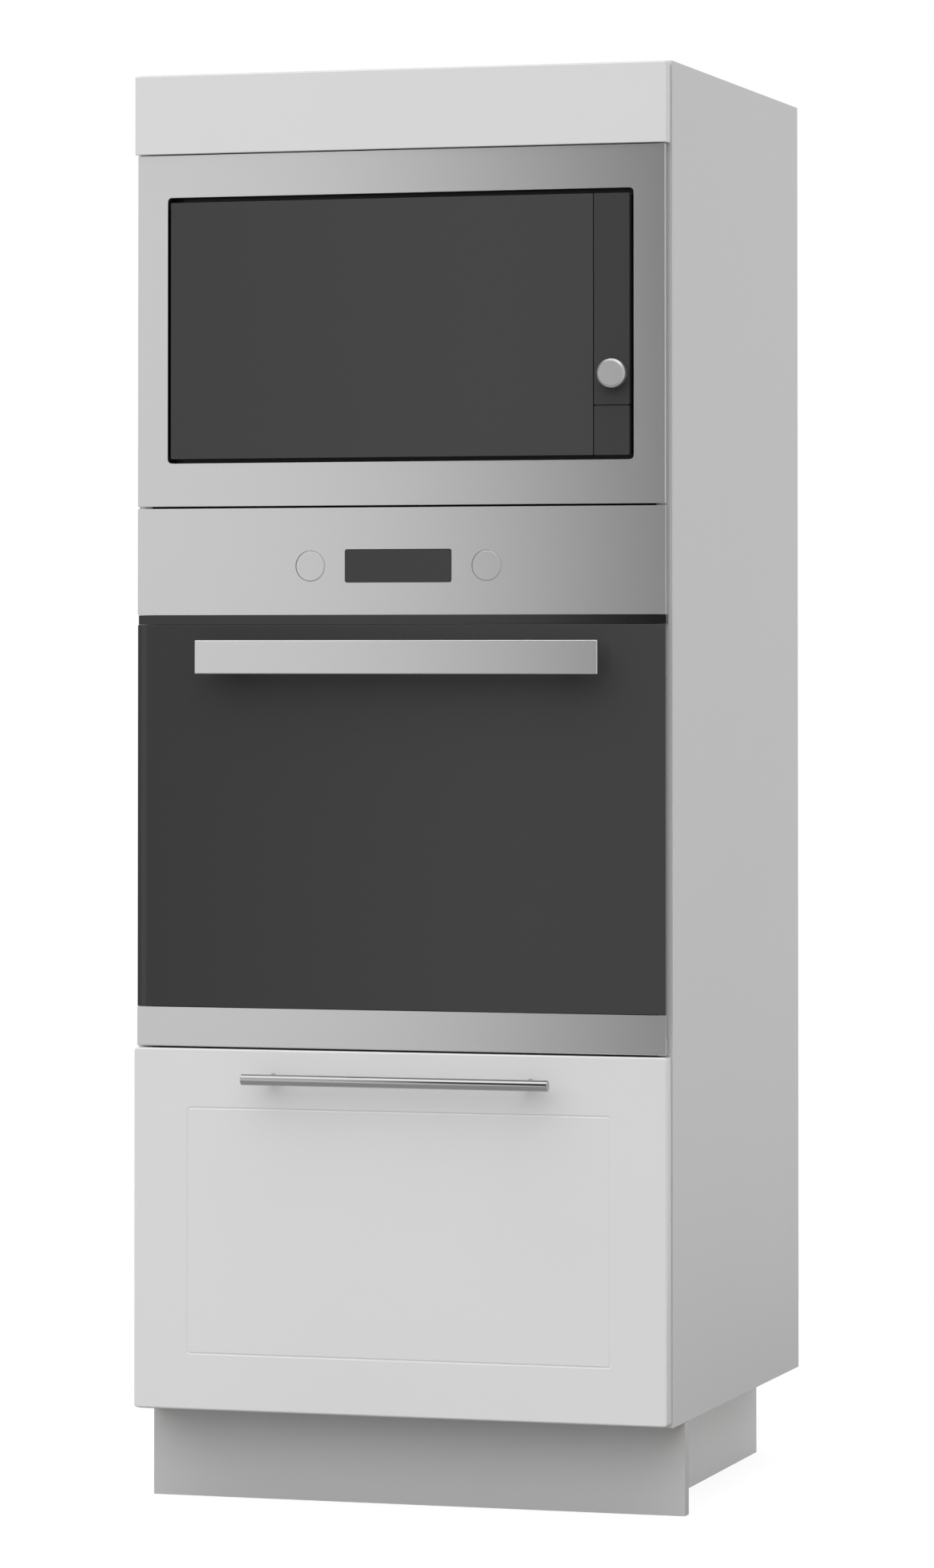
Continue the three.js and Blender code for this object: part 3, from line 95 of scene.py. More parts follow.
def addPiece(name, parts, material, body, replaced=(), sharpAngle=32):
    # Each part is a list of points and a list of faces.
    build = bmesh.new()
    for points, faces in parts:
        made = [build.verts.new(point) for point in points]
        for face in faces:
            build.faces.new([made[i] for i in face])
    bmesh.ops.recalc_face_normals(build, faces=build.faces)
    mesh = bpy.data.meshes.new(name)
    build.to_mesh(mesh)
    build.free()
    for face in mesh.polygons:
        face.use_smooth = True
    mesh.set_sharp_from_angle(angle=math.radians(sharpAngle))
    piece = finishPiece(name, mesh, material, body, replaced)
    piece.modifiers.new("even normals", "WEIGHTED_NORMAL").keep_sharp = True
    return piece


def addWire(name, paths, radius, material, body, replaced=(), closed=False):
    curve = bpy.data.curves.new(name, "CURVE")
    curve.dimensions = "3D"
    curve.bevel_depth = radius
    curve.bevel_resolution = 4
    curve.use_fill_caps = True
    for path in paths:
        spline = curve.splines.new("POLY")
        spline.points.add(len(path) - 1)
        spline.use_cyclic_u = closed
        for point, place in zip(spline.points, path):
            point.co = (*place, 1)
    return finishPiece(name, curve, material, body, replaced)


def spansOf(node):
    low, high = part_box(node)
    return (low.x, high.x), (low.y, high.y), (low.z, high.z)


def middle(span):
    return (span[0] + span[1]) / 2


def shrink(span, by):
    return (span[0] + by, span[1] - by)


def roundedLoop(xSpan, zSpan, radius, y, steps=8):
    # A rectangle with round corners in a plane of constant Y.
    (x0, x1), (z0, z1) = xSpan, zSpan
    r = max(radius, leastCorner)
    corners = ((x1 - r, z0 + r, -90), (x1 - r, z1 - r, 0), (x0 + r, z1 - r, 90), (x0 + r, z0 + r, 180))
    points = []
    for x, z, start in corners:
        for step in range(steps + 1):
            angle = math.radians(start + 90 * step / steps)
            points.append((x + r * math.cos(angle), y, z + r * math.sin(angle)))
    return points


def edgeLoops(xSpan, zSpan, corner, y, radius, steps=5):
    # Rounds the edge between a side wall and the face at y; a negative radius rounds an opening.
    loops = []
    for step in range(steps + 1):
        angle = math.radians(90 * step / steps)
        inset = radius * (1 - math.cos(angle))
        place = y + abs(radius) * (1 - math.sin(angle))
        loops.append(roundedLoop(shrink(xSpan, inset), shrink(zSpan, inset), corner - inset, place))
    return loops


def slabLoops(spans, corner, edge, steps=5):
    # A flat panel with a square back and a rounded edge around its front face.
    x, y, z = spans
    return [roundedLoop(x, z, corner, y[1]), *edgeLoops(x, z, corner, y[0], edge, steps)]


def loft(loops, closed=False):
    count, rows = len(loops[0]), len(loops)
    points = [point for loop in loops for point in loop]
    faces = []
    for a in range(rows if closed else rows - 1):
        b = (a + 1) % rows
        for i in range(count):
            j = (i + 1) % count
            faces.append((a * count + i, a * count + j, b * count + j, b * count + i))
    if not closed:
        faces.append(tuple(range(count)))
        faces.append(tuple(range((rows - 1) * count, rows * count)))
    return points, faces


def turned(profile, centre, axis, segments=72):
    # The profile is (radius, station) pairs along the axis; a radius of 0 closes an end.
    points, faces, rows = [], [], []
    for radius, station in profile:
        row = []
        for i in range(segments if radius > 0 else 1):
            angle = 2 * math.pi * i / segments
            a, b = radius * math.cos(angle), radius * math.sin(angle)
            offset = {"x": (station, a, b), "y": (a, station, b), "z": (a, b, station)}[axis]
            row.append(len(points))
            points.append([c + o for c, o in zip(centre, offset)])
        rows.append(row)
    for lower, upper in zip(rows, rows[1:]):
        for i in range(segments):
            j = (i + 1) % segments
            around = [row[k % len(row)] for row, k in ((lower, i), (lower, j), (upper, j), (upper, i))]
            face = tuple(dict.fromkeys(around))
            if len(face) > 2:
                faces.append(face)
    return points, faces


# Fibreboard sprayed with satin lacquer: an even pale grey with a soft sheen and a trace of orange peel.
def satinLacquer():
    look = {"tones": ("#d6d6d6", "#dadada"), "cloud": 180 * mm, "peel": 2.2 * mm, "depth": 0.012 * mm}
    coat = {"Coat Weight": 0.5, "Coat Roughness": 0.15}
    material, tree, shader, place = startMaterial("satin lacquer on fibreboard", "#d8d8d8", 0.36, coat)
    dark, light = map(linear, look["tones"])
    cloud = addNode(tree, "TexNoise", {"Vector": place, "Scale": 1 / look["cloud"]}).outputs["Fac"]
    tone = addNode(tree, "Mix", {0: cloud, 6: dark, 7: light}, data_type="RGBA").outputs[2]
    tree.links.new(tone, shader.inputs["Base Color"])
    peel = addNode(tree, "TexNoise", {"Vector": place, "Scale": 1 / look["peel"]}).outputs["Fac"]
    bump = addNode(tree, "Bump", {"Height": peel, "Distance": look["depth"]})
    tree.links.new(bump.outputs["Normal"], shader.inputs["Normal"])
    return material


# Chipboard pressed with melamine paper: pearled grey faces, and bare chips on the edges left unbanded.
def melamineBoard(name, colour, bareEdges):
    look = {
        "chipTones": ("#8a6f4f", "#c9ae86"),
        "roughness": 0.45,
        "bareRoughness": 0.85,
        "cloud": 250 * mm,
        "cloudTone": 0.97,
        "pearl": 0.9 * mm,
        "chip": 2.6 * mm,
        "chipRelief": 6.0,  # against the pearl's relief of 1
        "depth": 0.015 * mm,
        "facing": 0.9,  # how squarely a face has to look the way of a bare edge
    }
    material, tree, shader, place = startMaterial(name, colour, look["roughness"])
    chips = addNode(tree, "TexVoronoi", {"Vector": place, "Scale": 1 / look["chip"]}).outputs["Color"]
    chip = addNode(tree, "RGBToBW", {"Color": chips}).outputs["Val"]
    dark, light = map(linear, look["chipTones"])
    wood = addNode(tree, "Mix", {0: chip, 6: dark, 7: light}, data_type="RGBA").outputs[2]
    normal = addNode(tree, "NewGeometry").outputs["Normal"]
    bare = 0.0
    for edge in bareEdges:
        towards = addNode(tree, "VectorMath", {0: normal, 1: edge}, operation="DOT_PRODUCT").outputs["Value"]
        one = addNode(tree, "Math", {0: towards, 1: look["facing"]}, operation="GREATER_THAN").outputs[0]
        bare = addNode(tree, "Math", {0: bare, 1: one}, operation="MAXIMUM").outputs[0]
    cloud = addNode(tree, "TexNoise", {"Vector": place, "Scale": 1 / look["cloud"]}).outputs["Fac"]
    darker = tuple(look["cloudTone"] * channel for channel in linear(colour)[:3]) + (1,)
    face = addNode(tree, "Mix", {0: cloud, 6: linear(colour), 7: darker}, data_type="RGBA").outputs[2]
    both = addNode(tree, "Mix", {0: bare, 6: face, 7: wood}, data_type="RGBA").outputs[2]
    tree.links.new(both, shader.inputs["Base Color"])
    sheen = {"Value": bare, "To Min": look["roughness"], "To Max": look["bareRoughness"]}
    tree.links.new(addNode(tree, "MapRange", sheen).outputs["Result"], shader.inputs["Roughness"])
    pearl = addNode(tree, "TexNoise", {"Vector": place, "Scale": 1 / look["pearl"]}).outputs["Fac"]
    rough = {0: chip, 1: look["chipRelief"], 2: pearl}
    height = addNode(tree, "Math", rough, operation="MULTIPLY_ADD").outputs[0]
    relief = addNode(tree, "Mix", {0: bare, 2: pearl, 3: height}).outputs[0]
    bump = addNode(tree, "Bump", {"Height": relief, "Distance": look["depth"]})
    tree.links.new(bump.outputs["Normal"], shader.inputs["Normal"])
    return material


# Hardboard, hot-pressed wood fibre: its room side is painted grey and its back is bare brown fibre.
def hardboardSheet():
    look = {
        "paint": "#cfcfcd",
        "fibreTones": ("#74543a", "#a37f58"),
        "fibre": 2.5 * mm,
        "depth": 0.03 * mm,
        "facing": 0.5,  # how squarely a face has to look backwards to be bare
    }
    material, tree, shader, place = startMaterial("hardboard painted on one side", look["paint"], 0.6)
    strands = {"Vector": place, "Scale": 1 / look["fibre"], "Detail": 4}
    fibre = addNode(tree, "TexNoise", strands).outputs["Fac"]
    dark, light = map(linear, look["fibreTones"])
    brown = addNode(tree, "Mix", {0: fibre, 6: dark, 7: light}, data_type="RGBA").outputs[2]
    normal = addNode(tree, "NewGeometry").outputs["Normal"]
    facing = {0: normal, 1: (0, 1, 0)}
    towards = addNode(tree, "VectorMath", facing, operation="DOT_PRODUCT").outputs["Value"]
    behind = addNode(tree, "Math", {0: towards, 1: look["facing"]}, operation="GREATER_THAN").outputs[0]
    both = addNode(tree, "Mix", {0: behind, 6: linear(look["paint"]), 7: brown}, data_type="RGBA").outputs[2]
    tree.links.new(both, shader.inputs["Base Color"])
    bump = addNode(tree, "Bump", {"Height": fibre, "Distance": look["depth"]})
    tree.links.new(bump.outputs["Normal"], shader.inputs["Normal"])
    return material


# Stainless sheet brushed along X: reflections stay narrow sideways and are drawn out up and down.
# Real brush marks are about 0.1 mm wide, and are drawn 1.2 mm wide so that a trace of them shows.
def brushedStainless():
    look = {
        "tones": ("#d0d0d0", "#d4d4d4"),
        "roughness": (0.23, 0.24),
        "markWidth": 1.2 * mm,
        "markLength": 150 * mm,
    }
    grain = {"Metallic": 1.0, "Anisotropic": 1.0, "Anisotropic Rotation": 0.25}
    material, tree, shader, place = startMaterial("brushed stainless steel", "#d2d2d2", 0.235, grain)
    along = addNode(tree, "Tangent", direction_type="RADIAL", axis="Z").outputs["Tangent"]
    tree.links.new(along, shader.inputs["Tangent"])
    shape = (look["markWidth"] / look["markLength"], 1, 1)
    drawn = addNode(tree, "Mapping", {"Vector": place, "Scale": shape}).outputs["Vector"]
    marks = addNode(tree, "TexNoise", {"Vector": drawn, "Scale": 1 / look["markWidth"]}).outputs["Fac"]
    dark, light = map(linear, look["tones"])
    tone = addNode(tree, "Mix", {0: marks, 6: dark, 7: light}, data_type="RGBA").outputs[2]
    tree.links.new(tone, shader.inputs["Base Color"])
    low, high = look["roughness"]
    rough = addNode(tree, "MapRange", {"Value": marks, "To Min": low, "To Max": high}).outputs["Result"]
    tree.links.new(rough, shader.inputs["Roughness"])
    return material


# Metals with one colour and patches a little duller than the rest. Satin stainless steel is turned and
# blasted, with soft reflections. Chrome plated over polished steel is a near mirror, darker than silver.
def patchyMetal(name, colour, roughness, low, high, patch):
    material, tree, shader, place = startMaterial(name, colour, roughness, {"Metallic": 1.0})
    patches = addNode(tree, "TexNoise", {"Vector": place, "Scale": 1 / patch}).outputs["Fac"]
    rough = addNode(tree, "MapRange", {"Value": patches, "To Min": low, "To Max": high}).outputs["Result"]
    tree.links.new(rough, shader.inputs["Roughness"])
    return material


# Steel sheet coated with zinc: pale blue-grey, with the faint crystals of the coating, 8 mm across.
def zincSheet():
    look = {"tones": ("#adb1b4", "#c2c6c9"), "roughness": (0.36, 0.5), "crystal": 8 * mm}
    metal = {"Metallic": 1.0}
    material, tree, shader, place = startMaterial("zinc-coated sheet steel", "#b6babd", 0.42, metal)
    crystals = addNode(tree, "TexVoronoi", {"Vector": place, "Scale": 1 / look["crystal"]}).outputs["Color"]
    shade = addNode(tree, "RGBToBW", {"Color": crystals}).outputs["Val"]
    dark, light = map(linear, look["tones"])
    tone = addNode(tree, "Mix", {0: shade, 6: dark, 7: light}, data_type="RGBA").outputs[2]
    tree.links.new(tone, shader.inputs["Base Color"])
    low, high = look["roughness"]
    rough = addNode(tree, "MapRange", {"Value": shade, "To Min": low, "To Max": high}).outputs["Result"]
    tree.links.new(rough, shader.inputs["Roughness"])
    return material


# Toughened glass printed dark grey on its back: even and flat, with only a weak gloss.
# The colour gets a little paler from left to right as a painted shading gradient, and may have one pale line
# as a painted highlight.
def printedGlass(name, leftColour, rightColour, halfWidth, highlightAt=None):
    look = {
        "gloss": 0.1,
        "roughness": (0.05, 0.09),
        "cloud": 200 * mm,
        "highlightReach": (4.5 * mm, 1 * mm),  # from its middle: where the line starts and where it is palest
        "highlightStrength": 0.8,
    }
    weak = {"Specular IOR Level": look["gloss"]}
    material, tree, shader, place = startMaterial(name, leftColour, 0.07, weak)
    left, right = linear(leftColour), linear(rightColour)
    x = addNode(tree, "SeparateXYZ", {"Vector": place}).outputs["X"]
    limits = {"Value": x, "From Min": -halfWidth, "From Max": halfWidth}
    across = addNode(tree, "MapRange", limits).outputs["Result"]
    # Painted shading: the colour runs from the darker left to the lighter right.
    tone = addNode(tree, "Mix", {0: across, 6: left, 7: right}, data_type="RGBA").outputs[2]
    # Painted highlight: one pale line, blended towards the right-hand colour.
    if highlightAt:
        offset = addNode(tree, "Math", {0: x, 1: highlightAt}, operation="SUBTRACT").outputs[0]
        away = addNode(tree, "Math", {0: offset}, operation="ABSOLUTE").outputs[0]
        start, end = look["highlightReach"]
        fade = {"Value": away, "From Min": start, "From Max": end, "To Max": look["highlightStrength"]}
        paler = addNode(tree, "MapRange", fade, interpolation_type="SMOOTHSTEP").outputs["Result"]
        tone = addNode(tree, "Mix", {0: paler, 6: tone, 7: right}, data_type="RGBA").outputs[2]
    tree.links.new(tone, shader.inputs["Base Color"])
    cloud = addNode(tree, "TexNoise", {"Vector": place, "Scale": 1 / look["cloud"]}).outputs["Fac"]
    low, high = look["roughness"]
    rough = addNode(tree, "MapRange", {"Value": cloud, "To Min": low, "To Max": high}).outputs["Result"]
    tree.links.new(rough, shader.inputs["Roughness"])
    return material


# Float glass tinted grey, the innermost pane of the oven door: the room and the oven show through it.
def tintedPane():
    look = {"roughness": (0.03, 0.07), "haze": 120 * mm}
    clear = {"Transmission Weight": 0.6}
    material, tree, shader, place = startMaterial("tinted inner oven glass", "#3a3c3d", 0.04, clear)
    haze = addNode(tree, "TexNoise", {"Vector": place, "Scale": 1 / look["haze"]}).outputs["Fac"]
    low, high = look["roughness"]
    rough = addNode(tree, "MapRange", {"Value": haze, "To Min": low, "To Max": high}).outputs["Result"]
    tree.links.new(rough, shader.inputs["Roughness"])
    return material


# Vitreous enamel fired on steel: glossy dark grey with pale specks, drawn 0.9 mm across so they show.
def speckledEnamel():
    look = {
        "tones": ("#30343a", "#8b9198"),
        "speckPitch": 2.4 * mm,
        "speckRadius": 0.19,  # as a share of the pitch
        "ripple": 9 * mm,
        "depth": 0.03 * mm,
    }
    material, tree, shader, place = startMaterial("speckled vitreous enamel", look["tones"][0], 0.2)
    cells = addNode(tree, "TexVoronoi", {"Vector": place, "Scale": 1 / look["speckPitch"]})
    reach = {0: cells.outputs["Distance"], 1: look["speckRadius"]}
    speck = addNode(tree, "Math", reach, operation="LESS_THAN").outputs[0]
    dark, light = map(linear, look["tones"])
    tone = addNode(tree, "Mix", {0: speck, 6: dark, 7: light}, data_type="RGBA").outputs[2]
    tree.links.new(tone, shader.inputs["Base Color"])
    ripple = addNode(tree, "TexNoise", {"Vector": place, "Scale": 1 / look["ripple"]}).outputs["Fac"]
    bump = addNode(tree, "Bump", {"Height": ripple, "Distance": look["depth"]})
    tree.links.new(bump.outputs["Normal"], shader.inputs["Normal"])
    return material


# Black finishes with a fine grain: stoved enamel is glossy, powder coat leathery, moulded plastic matt.
def grainedBlack(name, colour, roughness, grain, depth, gloss=0.5):
    look = {"duller": 1.15, "glossier": 0.85}
    material, tree, shader, place = startMaterial(name, colour, roughness, {"Specular IOR Level": gloss})
    spots = addNode(tree, "TexNoise", {"Vector": place, "Scale": 1 / grain, "Detail": 3}).outputs["Fac"]
    low, high = look["glossier"] * roughness, look["duller"] * roughness
    rough = addNode(tree, "MapRange", {"Value": spots, "To Min": low, "To Max": high}).outputs["Result"]
    tree.links.new(rough, shader.inputs["Roughness"])
    bump = addNode(tree, "Bump", {"Height": spots, "Distance": depth})
    tree.links.new(bump.outputs["Normal"], shader.inputs["Normal"])
    return material


# Back of the microwave door: painted steel punched with round holes over the window.
# Real holes are 1.2 mm wide and 2 mm apart, and are drawn 3.2 mm apart so that the pattern shows.
def punchedScreen(window):
    look = {
        "tones": ("#242426", "#040404"),
        "pitch": 3.2 * mm,
        "hole": 0.34,  # radius as a share of the pitch
        "depth": 0.3 * mm,
        "strength": 0.6,
    }
    material, tree, shader, place = startMaterial("painted steel punched screen", look["tones"][0], 0.4)
    repeat = (1 / look["pitch"], 1, 1 / look["pitch"])
    grid = addNode(tree, "VectorMath", {0: place, 1: repeat}, operation="MULTIPLY").outputs[0]
    cell = addNode(tree, "VectorMath", {0: grid}, operation="FRACTION").outputs[0]
    flat = addNode(tree, "VectorMath", {0: cell, 1: (1, 0, 1)}, operation="MULTIPLY").outputs[0]
    gap = addNode(tree, "VectorMath", {0: flat, 1: (0.5, 0, 0.5)}, operation="DISTANCE").outputs["Value"]
    mask = addNode(tree, "Math", {0: gap, 1: look["hole"]}, operation="LESS_THAN").outputs[0]
    where = addNode(tree, "SeparateXYZ", {"Vector": place})
    for axis, span in window.items():
        inside = {0: where.outputs[axis], 1: middle(span), 2: (span[1] - span[0]) / 2}
        here = addNode(tree, "Math", inside, operation="COMPARE").outputs[0]
        mask = addNode(tree, "Math", {0: mask, 1: here}, operation="MULTIPLY").outputs[0]
    paint, hole = map(linear, look["tones"])
    tone = addNode(tree, "Mix", {0: mask, 6: paint, 7: hole}, data_type="RGBA").outputs[2]
    tree.links.new(tone, shader.inputs["Base Color"])
    raised = addNode(tree, "Math", {0: 1.0, 1: mask}, operation="SUBTRACT").outputs[0]
    punched = {"Height": raised, "Distance": look["depth"], "Strength": look["strength"]}
    tree.links.new(addNode(tree, "Bump", punched).outputs["Normal"], shader.inputs["Normal"])
    return material


# Soda-lime glass pressed in a mould: clear, faintly green, with soft ripples.
def pressedGlass():
    look = {"ripple": 22 * mm, "depth": 0.06 * mm}
    clear = {"Transmission Weight": 0.9}
    material, tree, shader, place = startMaterial("pressed clear glass", "#e2ece9", 0.04, clear)
    ripple = addNode(tree, "TexNoise", {"Vector": place, "Scale": 1 / look["ripple"]}).outputs["Fac"]
    bump = addNode(tree, "Bump", {"Height": ripple, "Distance": look["depth"]})
    tree.links.new(bump.outputs["Normal"], shader.inputs["Normal"])
    return material


# Two-toned dull sheets: steel browned in patches by heat, and flaky mica.
def stained(name, dark, light, size, roughness, metallic=0.0):
    material, tree, shader, place = startMaterial(name, dark, roughness, {"Metallic": metallic})
    spots = addNode(tree, "TexNoise", {"Vector": place, "Scale": 1 / size, "Detail": 4}).outputs["Fac"]
    tones = {0: spots, 6: linear(dark), 7: linear(light)}
    tree.links.new(addNode(tree, "Mix", tones, data_type="RGBA").outputs[2], shader.inputs["Base Color"])
    return material


up, down, backwards, left, right = (0, 0, 1), (0, 0, -1), (0, 1, 0), (-1, 0, 0), (1, 0, 0)
lacquer = satinLacquer()
# The carcass sides' board is a little darker than the shelf and drawer boards as painted shade, for the side
# faces getting less light.
shadedSideBoard = melamineBoard("carcass board darkened as painted shade", "#cecece", [down, backwards])
shelfBoard = melamineBoard("grey melamine shelf board", "#d2d2d2", [backwards, right, left])
drawerBoard = melamineBoard("pale grey melamine drawer board", "#dadada", [down])
# One melamine plinth board in two tones: the front darker as painted shade under the drawer's overhang, the
# sides paler as painted light.
shadedPlinthBoard = melamineBoard("plinth front board darkened as painted shade", "#c0c0c0", [down, up])
litPlinthSideBoard = melamineBoard("plinth side board lightened as painted light", "#f0f0f0", [down, up])
hardboard = hardboardSheet()
steel = brushedStainless()
satinSteel = patchyMetal("satin turned stainless steel", "#cecece", 0.42, 0.38, 0.46, 3 * mm)
chrome = patchyMetal("polished chrome plating", "#aeaeae", 0.05, 0.04, 0.08, 14 * mm)
zinc = zincSheet()
enamel = speckledEnamel()
# Each dark glass is painted darker at its left and lighter at its right as painted shading; the oven glass
# also has a painted highlight line.
ovenGlass = printedGlass("dark printed oven glass", "#383838", "#434343", 300 * mm, -289 * mm)
microwaveGlass = printedGlass("dark printed microwave glass", "#404040", "#454545", 260 * mm)
columnGlass = printedGlass("dark printed control glass", "#3e3e3e", "#404040", 260 * mm)
stovedBlack = grainedBlack("stoved black enamel", "#0a0a0a", 0.07, 3 * mm, 0.004 * mm, 0.62)
powderBlack = grainedBlack("black powder coat", "#161617", 0.35, 0.8 * mm, 0.03 * mm)
plastic = grainedBlack("black moulded polypropylene", "#1b1b1c", 0.5, 0.6 * mm, 0.02 * mm)
silicone = grainedBlack("extruded silicone seal", "#2c2c2d", 0.7, 1.5 * mm, 0.05 * mm, 0.3)
# A near-black matt sheet used as painted shade in the gap between the appliances.
gapShadeBlack = grainedBlack("black strip of painted gap shade", "#0b0b0b", 0.95, 1.2 * mm, 0.2 * mm, 0.1)
sheath = stained("heat-stained element sheath", "#4c4844", "#8a847c", 12 * mm, 0.45, 0.9)
mica = stained("mica sheet", "#8f8069", "#bfb29a", 6 * mm, 0.35)
clearGlass = pressedGlass()
screenWindow = {"X": (-205 * mm, 165 * mm), "Z": (1172 * mm, 1368 * mm)}
print("materials made")

finishes = {
    shadedSideBoard: ["side_panel_left", "side_panel_right"],
    shelfBoard: ["bottom_panel", "oven_shelf", "microwave_shelf", "upper_shelf", "top_panel"],
    drawerBoard: ["drawer_side_left", "drawer_side_right", "drawer_bottom", "drawer_back"],
    hardboard: ["drawer_back_panel", "upper_back_panel"],
    shadedPlinthBoard: ["plinth_front"],
    litPlinthSideBoard: ["plinth_side_left", "plinth_side_right"],
    zinc: ["oven_casing", "microwave_casing", "oven_fan", "oven_hinge_arm_left", "oven_hinge_arm_right"],
    steel: ["oven_control_panel", "oven_door_strip"],
    enamel: ["oven_cavity", "oven_fan_cover"],
    stovedBlack: ["oven_vent_grille"],
    powderBlack: ["oven_door_frame", "microwave_cavity"],
    columnGlass: ["oven_display", "microwave_control_column", "microwave_release_button"],
    plastic: [f"levelling_leg_{row}_{side}" for row in ("front", "back") for side in ("left", "right")],
    tintedPane(): ["oven_door_inner_glass"],
    punchedScreen(screenWindow): ["microwave_door_frame"],
}
for side in ("left", "right"):
    finishes[zinc] += [f"runner_{member}_{side}" for member in ("cabinet", "middle", "drawer")]
    finishes[zinc].append(f"oven_knob_shaft_{side}")
for material, names in finishes.items():
    for name in names:
        nodes[name].data.materials.clear()
        nodes[name].data.materials.append(material)
print("construction pieces finished")

fascia = {"edge": 1.0 * mm, "corner": 1.3 * mm, "steps": 8}


def makeFascia():
    loops = slabLoops(spansOf("fascia_panel"), fascia["corner"], fascia["edge"], fascia["steps"])
    addPiece("fascia_front", [loft(loops)], lacquer, "cabinet", ["fascia_panel"])


drawerFace = {
    "edge": 2.0 * mm,
    "corner": 3.5 * mm,
    "steps": 8,
    "grooveSide": 62.0 * mm,
    "grooveTop": 63.9 * mm,
    "grooveBottom": 60.6 * mm,
    "grooveCorner": 2.6 * mm,
    "grooveHalf": 1.7 * mm,
    "grooveDepth": 0.55 * mm,
}


def makeDrawerFace():
    x, y, z = spansOf("drawer_front")
    steps, half, corner = drawerFace["steps"], drawerFace["grooveHalf"], drawerFace["grooveCorner"]
    loops = slabLoops((x, y, z), drawerFace["corner"], drawerFace["edge"], steps)
    grooveX = shrink(x, drawerFace["grooveSide"])
    grooveZ = (z[0] + drawerFace["grooveBottom"], z[1] - drawerFace["grooveTop"])
    for step in range(steps + 1):  # a round-bottomed groove with soft lips
        across = -half + 2 * half * step / steps
        deep = y[0] + drawerFace["grooveDepth"] * (0.5 + 0.5 * math.cos(math.pi * across / half))
        loops.append(roundedLoop(shrink(grooveX, across), shrink(grooveZ, across), corner - across, deep))
    addPiece("drawer_face", [loft(loops)], lacquer, "drawer", ["drawer_front"])


makeFascia()
makeDrawerFace()
print("fronts made")

barHandle = {
    "edge": 0.8 * mm,
    "post": 4 * mm,
    "foot": 5.5 * mm,
    "footHeight": 3 * mm,
    "footEdge": 0.5 * mm,
    "flareHeight": 1.6 * mm,
    "curveShare": 0.3,  # how far in the middle of a curve lies, as a share of its width
}


def makeBar():
    x, y, z = spansOf("drawer_handle_bar")
    radius, edge, share = (y[1] - y[0]) / 2, barHandle["edge"], barHandle["curveShare"]
    end = [(0, 0), (radius - edge, 0), (radius - share * edge, share * edge), (radius, edge)]
    profile = [(r, x[0] + s) for r, s in end] + [(r, x[1] - s) for r, s in reversed(end)]
    bar = turned(profile, (0, middle(y), middle(z)), "x")
    addPiece("drawer_bar", [bar], chrome, "drawer", ["drawer_handle_bar"])


def makeBarPost(side):
    node = f"drawer_handle_post_{side}"
    x, y, z = spansOf(node)
    post, foot, end = barHandle["post"], barHandle["foot"], y[1]
    flare = post + barHandle["curveShare"] * (foot - post)
    profile = [(0, y[0]), (post, y[0]), (post, end - barHandle["footHeight"])]
    profile += [(flare, end - barHandle["flareHeight"]), (foot, end - barHandle["footEdge"])]
    shape = turned(profile + [(foot, end), (0, end)], (middle(x), 0, middle(z)), "y")
    addPiece(f"drawer_bar_post_{side}", [shape], chrome, "drawer", [node])


makeBar()
makeBarPost("left")
makeBarPost("right")
print("drawer handle made")

trimFrame = {
    "side": 34.4 * mm,
    "bottom": 46.9 * mm,
    "top": 46.3 * mm,
    "corner": 1 * mm,
    "openingCorner": 4.5 * mm,
    "fold": 0.4 * mm,
}


def makeTrimFrame():
    node = "microwave_trim_frame"
    x, y, z = spansOf(node)
    fold, corner = trimFrame["fold"], trimFrame["openingCorner"]
    openX = shrink(x, trimFrame["side"])
    openZ = (z[0] + trimFrame["bottom"], z[1] - trimFrame["top"])
    loops = slabLoops((x, y, z), trimFrame["corner"], fold)
    loops += reversed(edgeLoops(openX, openZ, corner, y[0], -fold))
    loops.append(roundedLoop(openX, openZ, corner, y[1]))
    addPiece("microwave_trim", [loft(loops, closed=True)], steel, "cabinet", [node])


microwavePane = {"edge": 0.5 * mm, "corner": 1.5 * mm, "steps": 3}


def makeMicrowaveGlass():
    node = "microwave_door_glass"
    loops = slabLoops(spansOf(node), microwavePane["corner"], microwavePane["edge"], microwavePane["steps"])
    addPiece("microwave_glass", [loft(loops)], microwaveGlass, "microwave_door", [node])


timerKnob = {
    "face": 13.2 * mm,
    "faceEdge": 0.3 * mm,
    "faceFall": 0.06 * mm,
    "chamfer": 2.0 * mm,
    "shoulderEdge": 0.3 * mm,
    "shoulderFall": 0.4 * mm,
    # The rounding at the seat, as (in from the side, up from the seat).
    "skirt": ((0, 0.6 * mm), (0.3 * mm, 0.1 * mm), (1 * mm, 0)),
    "seatGap": 0.3 * mm,
    "shaft": 3 * mm,
    "segments": 96,
    "sharpAngle": 20,
}


def makeTimerKnob():
    x, y, z = spansOf("microwave_knob")
    radius, face, shaft = (x[1] - x[0]) / 2, timerKnob["face"], timerKnob["shaft"]
    front, seat = y[0], spansOf("microwave_control_column")[1][0] - timerKnob["seatGap"]
    shoulder = front + timerKnob["chamfer"]
    profile = [(0, front), (face - timerKnob["faceEdge"], front), (face, front + timerKnob["faceFall"])]
    profile.append((radius - timerKnob["shoulderEdge"], shoulder))
    profile.append((radius, shoulder + timerKnob["shoulderFall"]))
    profile += [(radius - inwards, seat - rise) for inwards, rise in timerKnob["skirt"]]
    profile += [(shaft, seat), (shaft, y[1]), (0, y[1])]
    knob = turned(profile, (middle(x), 0, middle(z)), "y", timerKnob["segments"])
    angle = timerKnob["sharpAngle"]
    addPiece("microwave_timer_knob", [knob], satinSteel, "timer_knob", ["microwave_knob"], angle)


